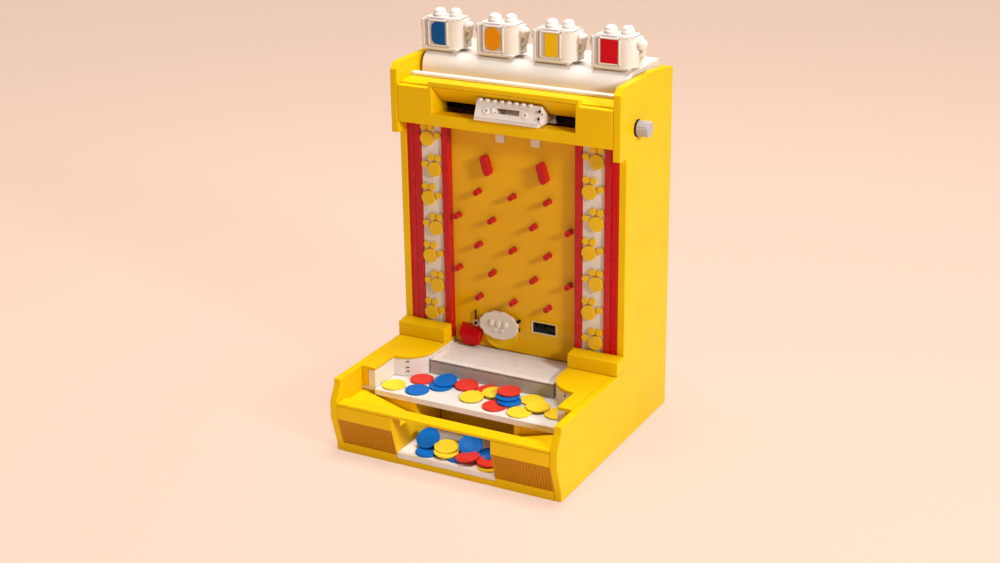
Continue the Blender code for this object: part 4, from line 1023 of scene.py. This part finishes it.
for number, (shade, left, right, left_radius, right_radius) in enumerate(tiles, 1):
    node = f"sign_block_{number}"
    low, high = (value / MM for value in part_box(node))
    x = (number - 2.5) * SIGN_PITCH
    base = low.z
    near = low.y + 2
    far = high.y - 2
    # Body with its front right corner rounded, on a foot and a plate that stands out.
    shape = bmesh.new()
    outline = [(x - BODY_HALF, near), (x + BODY_HALF - BODY_CORNER, near)]
    for step in range(13):
        angle = math.radians(270 + 7.5 * step)
        outline.append(
            (
                x + BODY_HALF - BODY_CORNER + BODY_CORNER * math.cos(angle),
                near + BODY_CORNER + BODY_CORNER * math.sin(angle),
            )
        )
    outline += [(x + BODY_HALF, far), (x - BODY_HALF, far)]
    verts = [shape.verts.new((a * MM, b * MM, (base + BODY_LOW) * MM)) for a, b in outline]
    face = shape.faces.new(verts)
    made = bmesh.ops.extrude_face_region(shape, geom=[face])["geom"]
    moved = [item for item in made if isinstance(item, bmesh.types.BMVert)]
    bmesh.ops.translate(shape, vec=(0, 0, (RIM_LOW - BODY_LOW + 0.4) * MM), verts=moved)
    brick(shape, (x - 19, near + 1, base), (x + 15, far + 1.8, base + 2.0), 0.5)
    brick(shape, (x - 22, near - 1.2, base + 1.6), (x + 18, far + 0.6, base + 3.8), 0.5)
    # Upright post at the left, and the frame round the tile.
    brick(shape, (x - 22.8, near - 0.6, base + 4), (x - 19.8, near + 3, base + 31.6), 0.5)
    frame_parts = (
        ((FRAME_LEFT, TILE_LOW - FRAME_BAR), (FRAME_LEFT + FRAME_BAR, TILE_HIGH + FRAME_BAR)),
        ((FRAME_RIGHT - FRAME_POST, TILE_LOW - FRAME_BAR), (FRAME_RIGHT, TILE_HIGH + FRAME_BAR)),
        ((FRAME_LEFT, TILE_HIGH), (FRAME_RIGHT, TILE_HIGH + FRAME_BAR)),
        ((FRAME_LEFT, TILE_LOW - FRAME_BAR), (FRAME_RIGHT, TILE_LOW)),
    )
    for (x1, z1), (x2, z2) in frame_parts:
        brick(shape, (x + x1, near - 1.2, base + z1), (x + x2, near + 1, base + z2), 0.3)
    # A thin step over the body, and the rim on it.
    brick(shape, (x - 21, near + 0.4, base + RIM_LOW), (x + 17, far - 0.4, base + 33.4), 0.4)
    brick(shape, (x - 19, near + 1.4, base + 33.0), (x + 19, far, base + RIM_HIGH), 0.7)
    # Whipped domes on top: round balls with soft grooves, like a swirl of cream.
    for across, along, wide in ((-6.5, 9.5, 7.6), (10, 13, 7.2)):
        dome = [(RIM_HIGH - 1.4, wide - 1.6)]
        for step in range(SWIRLS * 6):
            share = step / (SWIRLS * 6)
            groove = SWIRL * (1 + math.cos(2 * math.pi * SWIRLS * share))
            rise = (TOP - RIM_HIGH) * math.sin(share * math.pi / 2)
            swell = math.cos(share * math.pi / 2) ** 0.7
            dome.append((RIM_HIGH + rise, wide * swell * (1 - groove)))
        dome.append((TOP, 0))
        spot = (x + across, near + along, base)
        turned(shape, dome, Vector(spot) * MM, "Z", 24)
    # Looped handle at the right, with a knob on it and a thin strut under it.
    handle = []
    for step in range(13):
        angle = math.radians(82 - 15 * step)
        handle.append(
            (
                x + 21.6 + 6.0 * math.cos(angle),
                near + 13,
                base + 22 + 8 * math.sin(angle),
            )
        )
    tube(shape, handle, [TUBE] * len(handle))
    turned(
        shape,
        [(-5.4, 0), (-5.0, 2.6), (-3.4, 4.8), (0, 5.6), (3.4, 4.8), (5.0, 2.6), (5.4, 0)],
        Vector((x + 25.4, near + 12, base + 25.6)) * MM,
        "Y",
        24,
    )
    strut = []
    for across, up in ((29, 22), (27.6, 15), (23.4, 8), (18, 2.4)):
        strut.append((x + across, near + 13, base + up))
    tube(shape, strut, [1.0, 1.3, 1.3, 1.3], 10)
    # Spout at the left, curved and narrower to its tip.
    spout = []
    radii = []
    for step in range(9):
        share = step / 8
        spout.append((x - 21.5 - 5.6 * math.sin(share * 2.3), near + 9, base + 18 + 12 * share))
        radii.append(2.8 - 1.2 * share)
    tube(shape, spout, radii)
    piece(f"sign_{number}_body", shape, white_plain, "cabinet", (node,), 40)
    # The tile in its frame.
    shape = slab(
        bmesh.new(),
        round_box(
            x + left,
            x + right,
            base + TILE_LOW + 0.3,
            base + TILE_HIGH - 0.3,
            left_radius,
            right_radius,
        ),
        near - 0.9,
        near + 0.4,
    )
    colour = moulded_abs(f"{shade}_abs_tile", tile_shades[shade], PLAIN, 0.26)
    piece(f"sign_{number}_tile", shape, colour)
    # Painted shade in pale grey: a backing round the tile, a bar on the rim's step and one beside
    # the post.
    shape = brick(
        bmesh.new(),
        (x - 14.2, near - 0.3, base + TILE_LOW - 0.2),
        (x + 6.4, near + 0.5, base + TILE_HIGH + 0.2),
        0.1,
    )
    brick(shape, (x - 13, near + 0.2, base + 33.0), (x + 4, near + 2, base + 34.4), 0.2)
    brick(shape, (x - 20, near - 0.2, base + 5), (x - 15.6, near + 1, base + 31), 0.2)
    piece(f"sign_{number}_backing", shape, grey_painted_shade)

# --- Coins ----------------------------------------------------------------------------
# Round plastic coins, 25 mm across and 2 mm thick, with a raised rim and ring, moulded in
# red, blue and yellow ABS. They lie where they fell, on the table and in the tray.
COIN = 12.4            # radius of a coin
COIN_MIDDLE = 1.1      # height of its middle over what it lies on
LAYER = 2              # height of a layer of coins
coin_profile = [
    (-1.0, 0),
    (-1.0, COIN - 0.5),
    (-0.6, COIN),
    (0.6, COIN),
    (1.0, COIN - 0.5),
    (1.0, COIN - 1.6),
    (0.6, COIN - 2.0),
    (0.6, COIN - 4.4),
    (0.85, COIN - 4.8),
    (0.85, COIN - 5.4),
    (0.6, COIN - 5.8),
    (0.6, 0),
]
coin_shades = {
    "red": moulded_abs("red_abs_coin", "#DD3A2E", PLAIN, 0.36),
    "blue": moulded_abs("blue_abs_coin", "#0E68BC", PLAIN, 0.36),
    "yellow": moulded_abs("yellow_abs_coin", "#F0D030", PLAIN, 0.36),
}
# Colour, X, Y and layer of each coin, then its tilt in degrees about X and about Y.
on_table = (
    ("yellow", -90, -75, 0, 0, 0),
    ("blue", -62, -75, 0, 0, 0),
    ("red", -71, -50, 0, 0, 0),
    ("blue", -45, -56, 0, 0, 0),
    ("blue", -44, -48, 1.6, 9, -4),
    ("red", -21, -44.6, 0.6, 3, 2),
    ("red", 4, -44, 0, 0, 0),
    ("yellow", -3, -67, 0.6, 3.6, -2),
    ("yellow", 14, -50, 1.05, 0, 0),
    ("yellow", 29, -48, 0, 0, 0),
    ("red", 27, -74, 0, 0, 0),
    ("blue", 37, -61, 1.05, 0, 0),
    ("blue", 32, -55, 2.1, 0, 0),
    ("red", 30, -48, 3.15, 0, 0),
    ("yellow", 56, -76, 0, 0, 0),
    ("yellow", 55, -45, 0, 0, 0),
    ("yellow", 69, -60, 1.05, 0, 0),
    ("yellow", 91, -63, 0, 0, 0),
)
in_tray = (
    ("blue", -28, -114.6, 0, 0, 0),
    ("blue", -34, -103, 4.2, 34, 0),
    ("yellow", -8, -112, 1.3, 0, 3),
    ("yellow", -11, -106, 2.7, 6, 4),
    ("blue", 6, -111, 0.05, 0, 0),
    ("red", 17, -113, 1.7, 0, -6),
    ("blue", 12, -97, 4.1, 32, 12),
    ("blue", 31, -98, 1.3, 4, -8),
    ("red", 40, -111, 1.2, -3, 0),
    ("yellow", 43, -114.8, 0, 0, 0),
)
draw = random.Random(7)
for place, coins, floor_z in (
    ("table", on_table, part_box("coin_table")[1].z / MM),
    ("tray", in_tray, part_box("tray_floor")[1].z / MM),
):
    for number, (shade, x, y, layer, tilt_x, tilt_y) in enumerate(coins, 1):
        turn = Matrix.Rotation(math.radians(tilt_x), 3, "X") @ Matrix.Rotation(
            math.radians(tilt_y), 3, "Y"
        )
        turn = turn @ Matrix.Rotation(draw.uniform(0, math.tau), 3, "Z")
        spot = (x * MM, y * MM, (floor_z + COIN_MIDDLE + LAYER * layer) * MM)
        shape = turned(bmesh.new(), coin_profile, spot, turn, 48)
        piece(f"coin_{place}_{number}", shape, coin_shades[shade])
